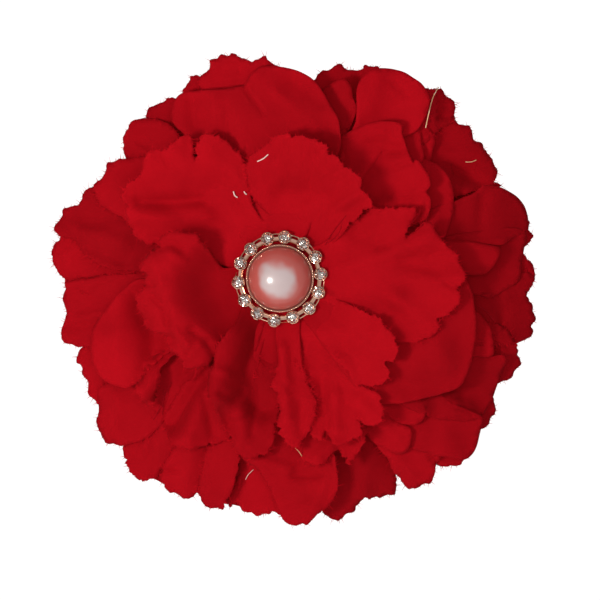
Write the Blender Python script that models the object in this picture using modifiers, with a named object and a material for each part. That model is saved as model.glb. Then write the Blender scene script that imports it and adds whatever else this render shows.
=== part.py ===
"""Fabric flower hair clip: stacked petal layers, a pearl and crystal button, and an alligator clip.

Every piece is modelled in the flower's own frame, which the empty flower_axis holds: x to the wearer's
left, y up and z out of the flower's face. The empty turns z onto the world's -Y. The origin is on the
flower's axis, at the face of the fixed arm that grips the hair.
"""

import math

import bmesh
import bpy
from mathutils import Matrix, Vector

MM = 0.001
GAP = 0.3

# Driving dimensions, in millimetres.
FLOWER_WIDTH = 106.5
FLOWER_HEIGHT = 102.8
FLOWER_OFFSET = Vector((2.95, -2.25))
LAYER_THICKNESS = 0.6
LAYER_PITCH = LAYER_THICKNESS + GAP
HUB_HOLE_RADIUS = 3.2
HUB_FLAT_RADIUS = 8.0
PEARL_DIAMETER = 14.0
PEARL_HEIGHT = 5.4
BEZEL_DIAMETER = 14.7
BEZEL_FLOOR = 0.5
BEZEL_DEPTH = 2.2
CRYSTALS = 14
CRYSTAL_CIRCLE_RADIUS = 9.0
FIRST_CRYSTAL_ANGLE = 5.4
CRYSTAL_RADIUS = 1.14
RING_THICKNESS = 0.45
RING_WIDTH = 1.0
CUP_RADIUS = 1.45
CUP_FOOT_RADIUS = 1.15
CUP_DEPTH = 1.3
CLAW_WIDTH = 0.36
CLAWS = 4
SHANK_PLATE_RADIUS = 2.2
SHANK_PLATE_THICKNESS = 0.7
SHANK_EYE_RADIUS = 1.5
SHANK_EYE_DEPTH = 1.9
SHANK_WIRE_RADIUS = 0.45
STITCH_OFFSET = 1.7
THREAD_RADIUS = 0.35
CLIP_LENGTH = 46.0
CLIP_WIDTH = 9.0
PLATE_THICKNESS = 0.8
FELT_RADIUS = 21.0
FELT_THICKNESS = 1.4
GLUE_THICKNESS = 1.1
GLUE_LENGTH = 34.0
GLUE_WIDTH = 8.0

# Each layer from the front: reach, how far its rim rises above its hub, lobes and the first lobe's angle.
PETAL_LAYERS = (
    (39.5, 26.0, 6, 8.0),
    (45.0, 18.0, 5, 78.0),
    (51.5, 11.0, 5, 42.0),
    (52.6, 7.5, 6, 16.0),
    (53.2, 4.5, 6, 48.0),
    (53.2, 2.0, 6, 0.0),
    (52.0, -0.5, 6, 30.0),
)
LOBE_NOTCH = 0.2
LAYER_SEGMENTS = 60
LAYER_SHARES = (0.0, 0.2, 0.6, 1.0)

# Heights along the flower's axis, from the fixed arm's gripping face.
GLUE_BACK = PLATE_THICKNESS + GAP
FELT_BACK = GLUE_BACK + GLUE_THICKNESS + GAP
REAR_HUB = FELT_BACK + FELT_THICKNESS + GAP + LAYER_THICKNESS / 2
FRONT_HUB = REAR_HUB + LAYER_PITCH * (len(PETAL_LAYERS) - 1)
BUTTON_BACK = FRONT_HUB + LAYER_THICKNESS / 2 + 0.8
BEZEL_WALL_TOP = BUTTON_BACK + BEZEL_DEPTH
PEARL_BACK = BUTTON_BACK + BEZEL_FLOOR + GAP
CRYSTAL_GIRDLE = BUTTON_BACK + RING_THICKNESS + GAP + CUP_DEPTH

# The clip's hinge.
HINGE_X = -9.0
HINGE_Z = -3.2
PIN_RADIUS = 0.8
PIN_HOLE_RADIUS = 1.0
FIXED_EAR_RADIUS = 2.9
ARM_THICKNESS = 0.7
ARM_WIDTH = 6.6
MOVING_EAR_RADIUS = 2.4
TIP_TEETH = 5
COIL_RADIUS = 1.45
SPRING_WIRE_RADIUS = 0.4
COIL_HALF_WIDTH = 1.7
SPRING_TURNS = 3.5

# The moving arm's middle line from its handle to its tip, as (x, z).
ARM_LINE = (
    (-23.0, -11.0),
    (-16.0, -8.2),
    (-11.5, -6.7),
    (-9.0, -6.1),
    (-3.0, -6.6),
    (4.0, -6.1),
    (12.0, -4.4),
    (19.0, -2.3),
    (23.6, -1.1),
)


def clear_scene():
    for item in list(bpy.data.objects):
        bpy.data.objects.remove(item)


def new_collection(name):
    collection = bpy.data.collections.new(name)
    bpy.context.scene.collection.children.link(collection)
    return collection


def new_material(name, colour, roughness, metallic=0.0):
    material = bpy.data.materials.new(name)
    material.use_nodes = True
    shader = material.node_tree.nodes["Principled BSDF"]
    shader.inputs["Base Color"].default_value = (*colour, 1.0)
    shader.inputs["Roughness"].default_value = roughness
    shader.inputs["Metallic"].default_value = metallic
    return material


clear_scene()
PARTS = new_collection("flower_hair_clip")
CUTTERS = new_collection("cutters")
FLOWER_AXIS = bpy.data.objects.new("flower_axis", None)
FLOWER_AXIS.rotation_euler = (math.radians(90.0), 0.0, 0.0)
PARTS.objects.link(FLOWER_AXIS)

RED_FABRIC = new_material("red_fabric", (0.37, 0.004, 0.009), 0.85)
DARK_FELT = new_material("dark_felt", (0.12, 0.004, 0.007), 0.95)
THREAD = new_material("thread", (0.28, 0.004, 0.008), 0.8)
PALE_GOLD = new_material("pale_gold", (0.78, 0.66, 0.5), 0.22, 1.0)
PEARL = new_material("pearl", (0.82, 0.76, 0.68), 0.18)
CRYSTAL = new_material("crystal", (0.9, 0.92, 0.95), 0.03)
STEEL = new_material("nickel_steel", (0.6, 0.6, 0.61), 0.28, 1.0)
GLUE = new_material("clear_glue", (0.75, 0.72, 0.62), 0.35)


def add_part(name, mesh, material):
    part = bpy.data.objects.new(name, mesh)
    part.parent = FLOWER_AXIS
    if not mesh.materials:
        mesh.materials.append(material)
    PARTS.objects.link(part)
    return part


def make_tool(part):
    """Turns a part into a hidden helper that a Boolean reads."""
    PARTS.objects.unlink(part)
    CUTTERS.objects.link(part)
    part.hide_render = True
    part.display_type = "WIRE"
    return part


def mesh_of(shape):
    mesh = bpy.data.meshes.new("shape")
    shape.to_mesh(mesh)
    shape.free()
    return mesh


def scaling(x, y, z):
    return Matrix.Diagonal((x * MM, y * MM, z * MM, 1.0))


def block(name, centre, size, material):
    shape = bmesh.new()
    placing = Matrix.Translation(Vector(centre) * MM)
    bmesh.ops.create_cube(shape, size=1.0, matrix=placing @ scaling(*size))
    return add_part(name, mesh_of(shape), material)


def rod(name, centre, radius, length, direction, material, segments=20):
    """A plain cylinder along one of the axes "x", "y" or "z"."""
    turns = {
        "x": Matrix.Rotation(math.radians(90.0), 4, "Y"),
        "y": Matrix.Rotation(math.radians(90.0), 4, "X"),
        "z": Matrix.Identity(4),
    }
    shape = bmesh.new()
    bmesh.ops.create_cone(
        shape,
        cap_ends=True,
        segments=segments,
        radius1=radius * MM,
        radius2=radius * MM,
        depth=length * MM,
        matrix=Matrix.Translation(Vector(centre) * MM) @ turns[direction],
    )
    return add_part(name, mesh_of(shape), material)


def combine(part, tool, operation):
    """Adds a Boolean with a helper, which stops being a part."""
    boolean = part.modifiers.new(operation.lower(), "BOOLEAN")
    boolean.operation = operation
    boolean.object = make_tool(tool)


def turned(name, profile, steps, material, closed=False, smooth=True):
    """A profile of (radius, height) points, outer side downwards, turned about z."""
    shape = bmesh.new()
    corners = [shape.verts.new((radius * MM, 0.0, height * MM)) for radius, height in profile]
    for first, second in zip(corners, corners[1:]):
        shape.edges.new((first, second))
    if closed:
        shape.edges.new((corners[-1], corners[0]))
    part = add_part(name, mesh_of(shape), material)
    screw = part.modifiers.new("turn", "SCREW")
    screw.axis = "Z"
    screw.steps = steps
    screw.render_steps = steps
    screw.use_merge_vertices = True
    screw.merge_threshold = 0.00001
    screw.use_smooth_shade = smooth
    return part


def wire(name, points, radius, material, cyclic=False, resolution=2):
    """A round wire through points, as a bevelled curve."""
    curve = bpy.data.curves.new(name, "CURVE")
    curve.dimensions = "3D"
    curve.bevel_depth = radius * MM
    curve.bevel_resolution = resolution
    curve.use_fill_caps = True
    spline = curve.splines.new("POLY")
    spline.points.add(len(points) - 1)
    for point, place in zip(spline.points, points):
        point.co = (*(Vector(place) * MM), 1.0)
    spline.use_cyclic_u = cyclic
    return add_part(name, curve, material)


def as_mesh(part):
    """Replaces a curve, or a part with modifiers, by its finished mesh."""
    name = part.name
    material = part.data.materials[0]
    bpy.context.view_layer.update()
    graph = bpy.context.evaluated_depsgraph_get()
    mesh = bpy.data.meshes.new_from_object(part.evaluated_get(graph))
    shape = bmesh.new()
    shape.from_mesh(mesh)
    bmesh.ops.remove_doubles(shape, verts=shape.verts, dist=0.000005)
    bmesh.ops.recalc_face_normals(shape, faces=shape.faces)
    shape.to_mesh(mesh)
    shape.free()
    bpy.data.objects.remove(part)
    return add_part(name, mesh, material)


def arc(centre, radius, start, end, steps):
    """Points of an arc between two angles in degrees."""
    angles = [math.radians(start + (end - start) * step / steps) for step in range(steps + 1)]
    return [(centre[0] + radius * math.cos(a), centre[1] + radius * math.sin(a)) for a in angles]


def petal_height(distance, hub, lift):
    """Height of a layer at a distance from the axis. Every layer bends by one rule, so none meet."""
    rise = max(0.0, distance - HUB_FLAT_RADIUS) / (FLOWER_WIDTH / 2 - HUB_FLAT_RADIUS)
    return hub + lift * rise**1.6


def add_petal_layer(number, reach, lift, lobes, first_angle):
    """One cloth layer: a lobed saucer with a hole at its hub."""
    hub = FRONT_HUB - LAYER_PITCH * (number - 1)
    shape = bmesh.new()
    rings = []
    for share in LAYER_SHARES:
        corners = []
        for segment in range(LAYER_SEGMENTS):
            angle = 2 * math.pi * segment / LAYER_SEGMENTS
            valley = (0.5 - 0.5 * math.cos(lobes * (angle - math.radians(first_angle)))) ** 3
            edge = reach * (1 - LOBE_NOTCH * valley)
            radius = HUB_HOLE_RADIUS + (edge - HUB_HOLE_RADIUS) * share
            place = Vector((radius * math.cos(angle), radius * math.sin(angle)))
            place.y *= 1 + (FLOWER_HEIGHT / FLOWER_WIDTH - 1) * share
            place += FLOWER_OFFSET * share * radius / (FLOWER_WIDTH / 2)
            height = petal_height(place.length, hub, lift)
            corners.append(shape.verts.new((place.x * MM, place.y * MM, height * MM)))
        rings.append(corners)
    for inner, outer in zip(rings, rings[1:]):
        for segment in range(LAYER_SEGMENTS):
            after = (segment + 1) % LAYER_SEGMENTS
            shape.faces.new((inner[segment], outer[segment], outer[after], inner[after]))
    part = add_part(f"petal_layer_{number}", mesh_of(shape), RED_FABRIC)
    part.data.shade_smooth()
    solid = part.modifiers.new("cloth", "SOLIDIFY")
    solid.thickness = LAYER_THICKNESS * MM
    solid.offset = 0.0


def add_pearl():
    """A half pearl with a flat back, seated in the bezel."""
    radius = PEARL_DIAMETER / 2 - 0.05
    dome = [
        (radius * math.sin(angle), PEARL_BACK + PEARL_HEIGHT * math.cos(angle))
        for angle in [math.radians(90.0 * step / 8) for step in range(9)]
    ]
    turned("pearl_cabochon", dome + [(0.0, PEARL_BACK)], 28, PEARL)


def add_bezel():
    """The pan that holds the pearl, with a rolled rim."""
    outer = BEZEL_DIAMETER / 2
    inner = PEARL_DIAMETER / 2 + 0.1
    floor = BUTTON_BACK + BEZEL_FLOOR
    profile = [(0.0, floor), (inner, floor), (inner, BEZEL_WALL_TOP)]
    profile += [((inner + outer) / 2, BEZEL_WALL_TOP + 0.15), (outer, BEZEL_WALL_TOP)]
    profile += [(outer, BUTTON_BACK), (0.0, BUTTON_BACK)]
    turned("bezel_cup", profile, 28, PALE_GOLD)


def crystal_turn(number):
    """The turn about the flower's axis to a crystal, or between two."""
    angle = math.radians(FIRST_CRYSTAL_ANGLE) + 2 * math.pi * number / CRYSTALS
    return Matrix.Rotation(angle, 4, "Z")


def add_cup_ring():
    """The flat ring behind the cups, with one upright link between each pair."""
    inner = CRYSTAL_CIRCLE_RADIUS - RING_WIDTH / 2
    outer = CRYSTAL_CIRCLE_RADIUS + RING_WIDTH / 2
    top = BUTTON_BACK + RING_THICKNESS
    profile = [(inner, top), (outer, top), (outer, BUTTON_BACK), (inner, BUTTON_BACK)]
    ring = turned("cup_ring", profile, 2 * CRYSTALS, PALE_GOLD, closed=True, smooth=False)
    shape = bmesh.new()
    for link in range(CRYSTALS):
        turn = crystal_turn(link + 0.5)
        place = Matrix.Translation(Vector((CRYSTAL_CIRCLE_RADIUS, 0.0, top + 0.5)) * MM)
        bmesh.ops.create_cube(shape, size=1.0, matrix=turn @ place @ scaling(0.45, 0.6, 1.4))
    combine(ring, add_part("cup_links", mesh_of(shape), PALE_GOLD), "UNION")


def claw_cup_mesh():
    """A tapered cup with claws bent over the crystal, about its girdle's centre."""
    seat = CRYSTAL_RADIUS + 0.1
    floor = 0.3 - CUP_DEPTH
    profile = [(0.0, floor), (CUP_FOOT_RADIUS - 0.2, floor), (seat, 0.0), (CUP_RADIUS, 0.0)]
    profile += [(CUP_FOOT_RADIUS, -CUP_DEPTH), (0.0, -CUP_DEPTH)]
    cup = turned("cup_shape", profile, 12, PALE_GOLD)
    shank_place = Vector((CRYSTAL_RADIUS + 0.17, 0.0, 0.0)) * MM
    tip_place = Vector((CRYSTAL_RADIUS + 0.03, 0.0, 0.3)) * MM
    shank = Matrix.Translation(shank_place) @ scaling(0.24, CLAW_WIDTH, 0.74)
    tip = Matrix.Translation(tip_place) @ scaling(0.36, CLAW_WIDTH, 0.14)
    shape = bmesh.new()
    for claw in range(CLAWS):
        turn = Matrix.Rotation(2 * math.pi * (claw + 0.5) / CLAWS, 4, "Z")
        bmesh.ops.create_cube(shape, size=1.0, matrix=turn @ shank)
        bmesh.ops.create_cube(shape, size=1.0, matrix=turn @ tip)
    combine(cup, add_part("claws", mesh_of(shape), PALE_GOLD), "UNION")
    cup.modifiers["union"].use_self = True
    finished = as_mesh(cup)
    mesh = finished.data
    bpy.data.objects.remove(finished)
    return mesh


def crystal_mesh():
    """A round brilliant with a flat table, about its girdle's centre."""
    profile = [(0.0, 0.45), (0.55, 0.45), (CRYSTAL_RADIUS, 0.03), (CRYSTAL_RADIUS, -0.06), (0.0, -0.85)]
    finished = as_mesh(turned("crystal_shape", profile, 8, CRYSTAL, smooth=False))
    mesh = finished.data
    bpy.data.objects.remove(finished)
    return mesh


def add_crystals():
    cup = claw_cup_mesh()
    crystal = crystal_mesh()
    for number in range(CRYSTALS):
        place = Matrix.Translation(Vector((CRYSTAL_CIRCLE_RADIUS, 0.0, CRYSTAL_GIRDLE)) * MM)
        for name, mesh, material in (("claw_cup", cup, PALE_GOLD), ("crystal", crystal, CRYSTAL)):
            part = add_part(f"{name}_{number + 1:02d}", mesh, material)
            part.matrix_local = crystal_turn(number) @ place


def add_shank():
    """The sewing loop behind the button: a small plate with a wire eye."""
    plate_front = BUTTON_BACK - GAP
    plate_back = plate_front - SHANK_PLATE_THICKNESS
    eye_centre = plate_back - SHANK_EYE_DEPTH
    root = plate_back + 0.3
    bend = arc((0.0, eye_centre), SHANK_EYE_RADIUS, 0.0, -180.0, 10)
    route = [(SHANK_EYE_RADIUS, root), *bend, (-SHANK_EYE_RADIUS, root)]
    eye = as_mesh(wire("eye", [(x, 0.0, z) for x, z in route], SHANK_WIRE_RADIUS, PALE_GOLD))
    middle = (0.0, 0.0, (plate_front + plate_back) / 2)
    plate = rod("button_shank", middle, SHANK_PLATE_RADIUS, SHANK_PLATE_THICKNESS, "z", PALE_GOLD)
    combine(plate, eye, "UNION")


def add_thread():
    """A loop of thread through the shank's eye, down two stitch holes and across behind the felt."""
    front = BUTTON_BACK - GAP - SHANK_PLATE_THICKNESS - SHANK_EYE_DEPTH - 0.6
    back = GLUE_BACK + 0.7
    bend = 0.5
    low, high = back + bend, front - bend
    right = STITCH_OFFSET - bend
    route = arc((right, high), bend, 90.0, 0.0, 3) + arc((right, low), bend, 0.0, -90.0, 3)
    route += arc((-right, low), bend, -90.0, -180.0, 3) + arc((-right, high), bend, 180.0, 90.0, 3)
    wire("sewing_thread", [(0.0, y, z) for y, z in route], THREAD_RADIUS, THREAD, cyclic=True)


def add_felt():
    """The round felt back, with two stitch holes."""
    middle = FELT_BACK + FELT_THICKNESS / 2
    felt = rod("felt_backing", (0.0, 0.0, middle), FELT_RADIUS, FELT_THICKNESS, "z", DARK_FELT, 48)
    for side in (-1, 1):
        place = (0.0, side * STITCH_OFFSET, middle)
        hole = rod("stitch_hole", place, 2 * THREAD_RADIUS, 2 * FELT_THICKNESS, "z", DARK_FELT, 12)
        combine(felt, hole, "DIFFERENCE")


def add_glue_pad():
    """The glue between the felt and the clip, open where the stitch lies."""
    middle = GLUE_BACK + GLUE_THICKNESS / 2
    pad = block("glue_pad", (0.0, 0.0, middle), (GLUE_LENGTH, GLUE_WIDTH, GLUE_THICKNESS), GLUE)
    slot = block("stitch_slot", (0.0, 0.0, middle), (2.4, 5.2, 3 * GLUE_THICKNESS), GLUE)
    combine(pad, slot, "DIFFERENCE")


def add_fixed_arm():
    """The flat arm glued to the felt, with two ears that hold the pin."""
    centre = (0.5, 0.0, PLATE_THICKNESS / 2)
    arm = block("clip_fixed_arm", centre, (CLIP_LENGTH, CLIP_WIDTH, PLATE_THICKNESS), STEEL)
    for side in (-1, 1):
        middle = side * (CLIP_WIDTH / 2 - PLATE_THICKNESS / 2)
        height = PLATE_THICKNESS / 2 - HINGE_Z
        neck_place = (HINGE_X, middle, HINGE_Z + height / 2)
        neck = block("neck", neck_place, (2 * FIXED_EAR_RADIUS, PLATE_THICKNESS, height), STEEL)
        ear = rod("ear", (HINGE_X, middle, HINGE_Z), FIXED_EAR_RADIUS, PLATE_THICKNESS, "y", STEEL)
        combine(arm, neck, "UNION")
        combine(arm, ear, "UNION")
    hole = rod("pin_hole", (HINGE_X, 0.0, HINGE_Z), PIN_HOLE_RADIUS, 2 * CLIP_WIDTH, "y", STEEL)
    combine(arm, hole, "DIFFERENCE")


def strip_along(name, line, width, thickness, material):
    """A bent strip of sheet metal, from its side view."""
    shape = bmesh.new()
    rows = []
    for x, z in line:
        rows.append([shape.verts.new((x * MM, side * width / 2 * MM, z * MM)) for side in (-1, 1)])
    for first, second in zip(rows, rows[1:]):
        shape.faces.new((first[0], second[0], second[1], first[1]))
    strip = add_part(name, mesh_of(shape), material)
    solid = strip.modifiers.new("sheet", "SOLIDIFY")
    solid.thickness = thickness * MM
    solid.offset = 0.0
    solid.use_even_offset = True
    return strip


def add_moving_arm():
    """The arched jaw and its handle, with ears on the pin and teeth at the tip."""
    arm = strip_along("clip_moving_arm", ARM_LINE, ARM_WIDTH, ARM_THICKNESS, STEEL)
    plate_z = dict(ARM_LINE)[HINGE_X]
    for side in (-1, 1):
        middle = side * (ARM_WIDTH - ARM_THICKNESS) / 2
        neck_place = (HINGE_X, middle, (HINGE_Z + plate_z) / 2)
        neck = block("neck", neck_place, (4.4, ARM_THICKNESS, HINGE_Z - plate_z), STEEL)
        ear = rod("ear", (HINGE_X, middle, HINGE_Z), MOVING_EAR_RADIUS, ARM_THICKNESS, "y", STEEL)
        combine(arm, neck, "UNION")
        combine(arm, ear, "UNION")
    tip_x, tip_z = ARM_LINE[-1]
    for tooth in range(TIP_TEETH):
        across = (tooth - (TIP_TEETH - 1) / 2) * 1.4
        depth = -GAP - tip_z
        place = (tip_x - 0.5, across, tip_z + depth / 2)
        combine(arm, block("tooth", place, (0.7, 0.8, depth), STEEL), "UNION")
    hole = rod("pin_hole", (HINGE_X, 0.0, HINGE_Z), PIN_HOLE_RADIUS, 2 * CLIP_WIDTH, "y", STEEL)
    combine(arm, hole, "DIFFERENCE")


def add_hinge_pin():
    """The pin through all four ears, with a head at each end."""
    end = CLIP_WIDTH / 2 + GAP
    head = [(0.0, end + 0.6), (1.2, end + 0.5), (1.4, end), (PIN_RADIUS, end)]
    foot = [(radius, -height) for radius, height in reversed(head)]
    pin = turned("hinge_pin", head + foot, 16, STEEL)
    pin.location = Vector((HINGE_X, 0.0, HINGE_Z)) * MM
    pin.rotation_euler = (math.radians(90.0), 0.0, 0.0)


def add_spring():
    """The torsion spring: turns about the pin, with a leg on each handle."""
    steps = int(SPRING_TURNS * 12)
    coil = []
    for step in range(steps + 1):
        angle = math.radians(90.0) - 2 * math.pi * SPRING_TURNS * step / steps
        across = COIL_HALF_WIDTH * (2 * step / steps - 1)
        x = HINGE_X + COIL_RADIUS * math.cos(angle)
        z = HINGE_Z + COIL_RADIUS * math.sin(angle)
        coil.append((x, across, z))
    fixed_leg = [(-17.0, -COIL_HALF_WIDTH, -SPRING_WIRE_RADIUS - GAP), (-13.0, -COIL_HALF_WIDTH, -1.2)]
    moving_leg = [(-13.0, COIL_HALF_WIDTH, -5.9), (-17.0, COIL_HALF_WIDTH, -7.2)]
    wire("torsion_spring", fixed_leg + coil + moving_leg, SPRING_WIRE_RADIUS, STEEL)


for layer_number, layer in enumerate(PETAL_LAYERS, start=1):
    add_petal_layer(layer_number, *layer)
add_pearl()
add_bezel()
add_cup_ring()
add_crystals()
add_shank()
add_thread()
add_felt()
add_glue_pad()
add_fixed_arm()
add_moving_arm()
add_hinge_pin()
add_spring()
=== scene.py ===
"""Looks of the flower hair clip: cut, frayed and pinked cloth petals, pearl and crystal button, metal clip.

Lengths are in millimetres in the flower's own frame, x to the right, y up and height out of its face, until
flower_point turns them into metres in the CAD model's frame. Angles are in degrees.
"""

import math
import random

import bmesh
import bpy
from mathutils import Matrix, Vector, noise
from mathutils.geometry import delaunay_2d_cdt
from mathutils.kdtree import KDTree


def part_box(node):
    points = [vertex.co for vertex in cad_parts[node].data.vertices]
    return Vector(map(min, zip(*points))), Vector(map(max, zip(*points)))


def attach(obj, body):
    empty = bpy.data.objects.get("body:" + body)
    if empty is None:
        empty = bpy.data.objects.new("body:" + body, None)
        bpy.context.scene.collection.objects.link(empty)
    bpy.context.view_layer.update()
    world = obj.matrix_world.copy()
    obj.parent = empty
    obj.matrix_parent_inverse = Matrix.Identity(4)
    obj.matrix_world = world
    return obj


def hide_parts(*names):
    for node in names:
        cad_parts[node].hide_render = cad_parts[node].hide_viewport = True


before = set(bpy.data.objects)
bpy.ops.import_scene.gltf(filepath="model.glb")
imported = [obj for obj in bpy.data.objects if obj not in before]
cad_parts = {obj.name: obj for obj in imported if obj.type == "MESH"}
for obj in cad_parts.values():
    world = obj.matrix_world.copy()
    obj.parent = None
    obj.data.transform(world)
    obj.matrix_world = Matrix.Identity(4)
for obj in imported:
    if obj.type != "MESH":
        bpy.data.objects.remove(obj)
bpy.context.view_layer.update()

MM = 0.001

# Cloth: its thickness and weave, the grid it is cut on, and how it is laid on the cloth under it.
CLOTH_THICKNESS = 0.18
THREAD_PITCH = 0.3
EDGE_STEP = 0.38
FINE_GRID = 0.7
COARSE_GRID = 0.95
FINE_LAYERS = 2
STACK_CELL = 1.1
STACK_GAP = 0.22
STACK_SOFTNESS = 0.3

# Petals: the sewn hub, the dish round the button and the free cloth beyond it.
HUB_RADIUS = 3.4
HUB_CLEARANCE = 0.3
OVERLAP_STEP = 0.14
DISH_RISE = 9.0
DISH_RADIUS = 9.0
TOOTH_PITCH = 3.1
BARE_EDGE_RADIUS = 14.0
FLOWER_MIDDLE = Vector((3.0, -2.4))

# Frayed threads: the share of edge steps that have one, its lengths and half thickness, and how much brighter
# it is painted: a painted highlight where the frayed ends catch the light.
FIBRE_SHARE = 0.72
FIBRE_LENGTHS = (0.3, 0.4, 0.6, 0.9, 1.5)
FIBRE_HALF_THICKNESS = 0.04
FIBRE_PAINTED_HIGHLIGHT = 1.4
FIBRE_FREE_RADIUS = 17.0

# Button: the ring of cups, the pan and the pearl's foot.
CRYSTALS = 14
FIRST_CRYSTAL = 5.4
CRYSTAL_RADIUS = 1.16
GIRDLE_DEPTH = 0.37
HAND_SET = 0.25
PEARL_FOOT = 0.3
PAN_WALL = 0.28
PAN_FLOOR = 0.5
MILGRAIN_BEADS = 84
BEAD_RADIUS = 0.22
WIRE_RADIUS = 0.2
WIRE_STEPS = 140
LINK_RADIUS = 8.7
LINK_SIZE = (0.55, 0.3, 1.3)
LINK_BEVEL = 0.08
# Radius and height of each wire above the ring's back.
WIRES = ((8.3, 0.35), (9.6, 0.3))
# Radius and height from the girdle, round the cup's wall.
CUP_WALL = (
    (1.2, -0.02), (1.3, 0.08), (1.42, 0.02), (1.44, -0.15), (1.18, -1.2),
    (1.05, -1.28), (0.6, -1.28), (0.6, -1.1), (0.9, -0.98),
)
# Radius, height from the girdle and thickness along a claw.
CLAW = (
    (1.36, -0.9, 0.16), (1.45, -0.3, 0.2), (1.42, 0.08, 0.23),
    (1.24, 0.32, 0.24), (1.02, 0.36, 0.2), (0.86, 0.28, 0.1),
)
# Corners, turn as a share of one facet, radius as a share and depth of each ring of a crystal's corners.
FACET_RINGS = ((8, 0.0, 0.5, 0.0), (8, 0.5, 0.78, 0.17), (16, 0.25, 1.0, 0.42), (16, 0.25, 1.0, 0.5))

# Stitch: how far a ply's middle is inside the CAD thread, its bend, twist and thickness.
STITCH_INSET = 0.35
STITCH_BEND = 0.5
STITCH_TURNS = 12
PLY_OFFSET = 0.16
PLY_RADIUS = 0.19

CAMERA_DISTANCE = 0.7
CAMERA_SETBACK = 0.007
SENSOR_WIDTH = 36.0
FRAME_WIDTH = 0.1306
VIEW_CENTRE = (0.00435, -0.00466)


def hub_height(layer):
    """Height of a layer's hub: the CAD layer is thinnest and lowest there."""
    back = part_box(f"petal_layer_{layer}")[1].y
    return -back / MM + HUB_CLEARANCE


def flower_point(x, y, height):
    return Vector((x * MM, -height * MM, y * MM))


def polar(radius, angle):
    return Vector((radius * math.cos(math.radians(angle)), radius * math.sin(math.radians(angle))))


def smooth_step(value):
    value = min(1.0, max(0.0, value))
    return value * value * (3 - 2 * value)


def turned(name, profile, steps, material):
    """A profile of (radius, height) points turned about the flower's axis, outer side downwards."""
    shape = bmesh.new()
    corners = [shape.verts.new(flower_point(radius, 0.0, height)) for radius, height in profile]
    for first, second in zip(corners, corners[1:]):
        shape.edges.new((first, second))
    bmesh.ops.spin(
        shape,
        geom=shape.verts[:] + shape.edges[:],
        cent=(0, 0, 0),
        axis=(0, 1, 0),
        angle=math.tau,
        steps=steps,
        use_merge=True,
    )
    bmesh.ops.remove_doubles(shape, verts=shape.verts, dist=0.000002)
    bmesh.ops.recalc_face_normals(shape, faces=shape.faces)
    return finished(name, shape, material)


def finished(name, shape, material, smooth_angle=40.0):
    """A new object from a shape, smooth apart from its sharp edges."""
    mesh = bpy.data.meshes.new(name)
    shape.to_mesh(mesh)
    shape.free()
    mesh.materials.append(material)
    mesh.shade_smooth()
    mesh.set_sharp_from_angle(angle=math.radians(smooth_angle))
    piece = bpy.data.objects.new(name, mesh)
    bpy.context.scene.collection.objects.link(piece)
    return piece


def add_tube(shape, points, radii, sides=8, closed=False):
    """A round bar along a line of points, in metres, with a radius at each point. Its ends are capped."""
    count = len(points)
    rings = []
    across = None
    for index, point in enumerate(points):
        if closed:
            ahead = points[(index + 1) % count] - points[index - 1]
        else:
            ahead = points[min(index + 1, count - 1)] - points[max(index - 1, 0)]
        ahead = ahead.normalized()
        across = ahead.orthogonal() if across is None else across - ahead * across.dot(ahead)
        across = across.normalized()
        beside = ahead.cross(across)
        ring = []
        for side in range(sides):
            angle = math.tau * side / sides
            out = across * math.cos(angle) + beside * math.sin(angle)
            ring.append(shape.verts.new(point + out * radii[index]))
        rings.append(ring)
    add_skin(shape, rings + rings[:1] if closed else rings)
    if not closed:
        shape.faces.new(rings[0][::-1])
        shape.faces.new(rings[-1])


def add_skin(shape, rings):
    """Faces between each ring of corners and the next."""
    for first, second in zip(rings, rings[1:]):
        for side in range(len(first)):
            shape.faces.new((first[side - 1], first[side], second[side], second[side - 1]))


def stands_for(piece, slot, *nodes):
    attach(piece, "flower")
    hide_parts(*nodes)


# ---------------------------------------------------------------- materials


def material_with(name, colour, roughness, metallic=0.0, more=None):
    """A material, its nodes and its shader. More holds other constants of the shader."""
    material = bpy.data.materials.new(name)
    material.use_nodes = True
    shader = material.node_tree.nodes["Principled BSDF"]
    constants = {"Base Color": (*colour, 1.0), "Roughness": roughness, "Metallic": metallic, **(more or {})}
    for socket, value in constants.items():
        shader.inputs[socket].default_value = value
    return material, material.node_tree, shader


def add_node(tree, kind, **settings):
    """A node with its settings. One that is another node's socket is linked."""
    node = tree.nodes.new(kind)
    for name, value in settings.items():
        if name not in node.inputs:
            setattr(node, name, value)
        elif isinstance(value, bpy.types.NodeSocket):
            tree.links.new(value, node.inputs[name])
        else:
            node.inputs[name].default_value = value
    return node


def object_place(tree):
    return add_node(tree, "ShaderNodeTexCoord").outputs["Object"]


def add_ramp(tree, share, colours, end=1.0, interpolation="LINEAR"):
    """A colour between two, from a share that reaches the second at end."""
    ramp = add_node(tree, "ShaderNodeValToRGB", Fac=share)
    ramp.color_ramp.interpolation = interpolation
    for element, position, colour in zip(ramp.color_ramp.elements, (0.0, end), colours):
        element.position = position
        element.color = (*colour, 1.0)
    return ramp.outputs["Color"]


def add_math(tree, operation, *values):
    """A Math node on sockets or numbers."""
    node = tree.nodes.new("ShaderNodeMath")
    node.operation = operation
    for socket, value in zip(node.inputs, values):
        if isinstance(value, (int, float)):
            socket.default_value = value
        else:
            tree.links.new(value, socket)
    return node.outputs[0]


def add_bump(tree, shader, height, strength, distance):
    bump = add_node(tree, "ShaderNodeBump", Strength=strength, Distance=distance, Height=height)
    tree.links.new(bump.outputs["Normal"], shader.inputs["Normal"])


CLOTH_SHEEN = {
    "Sheen Weight": 0.035,
    "Sheen Roughness": 0.45,
    "Sheen Tint": (1.0, 0.12, 0.12, 1.0),
    "Specular IOR Level": 0.03,
}


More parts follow.
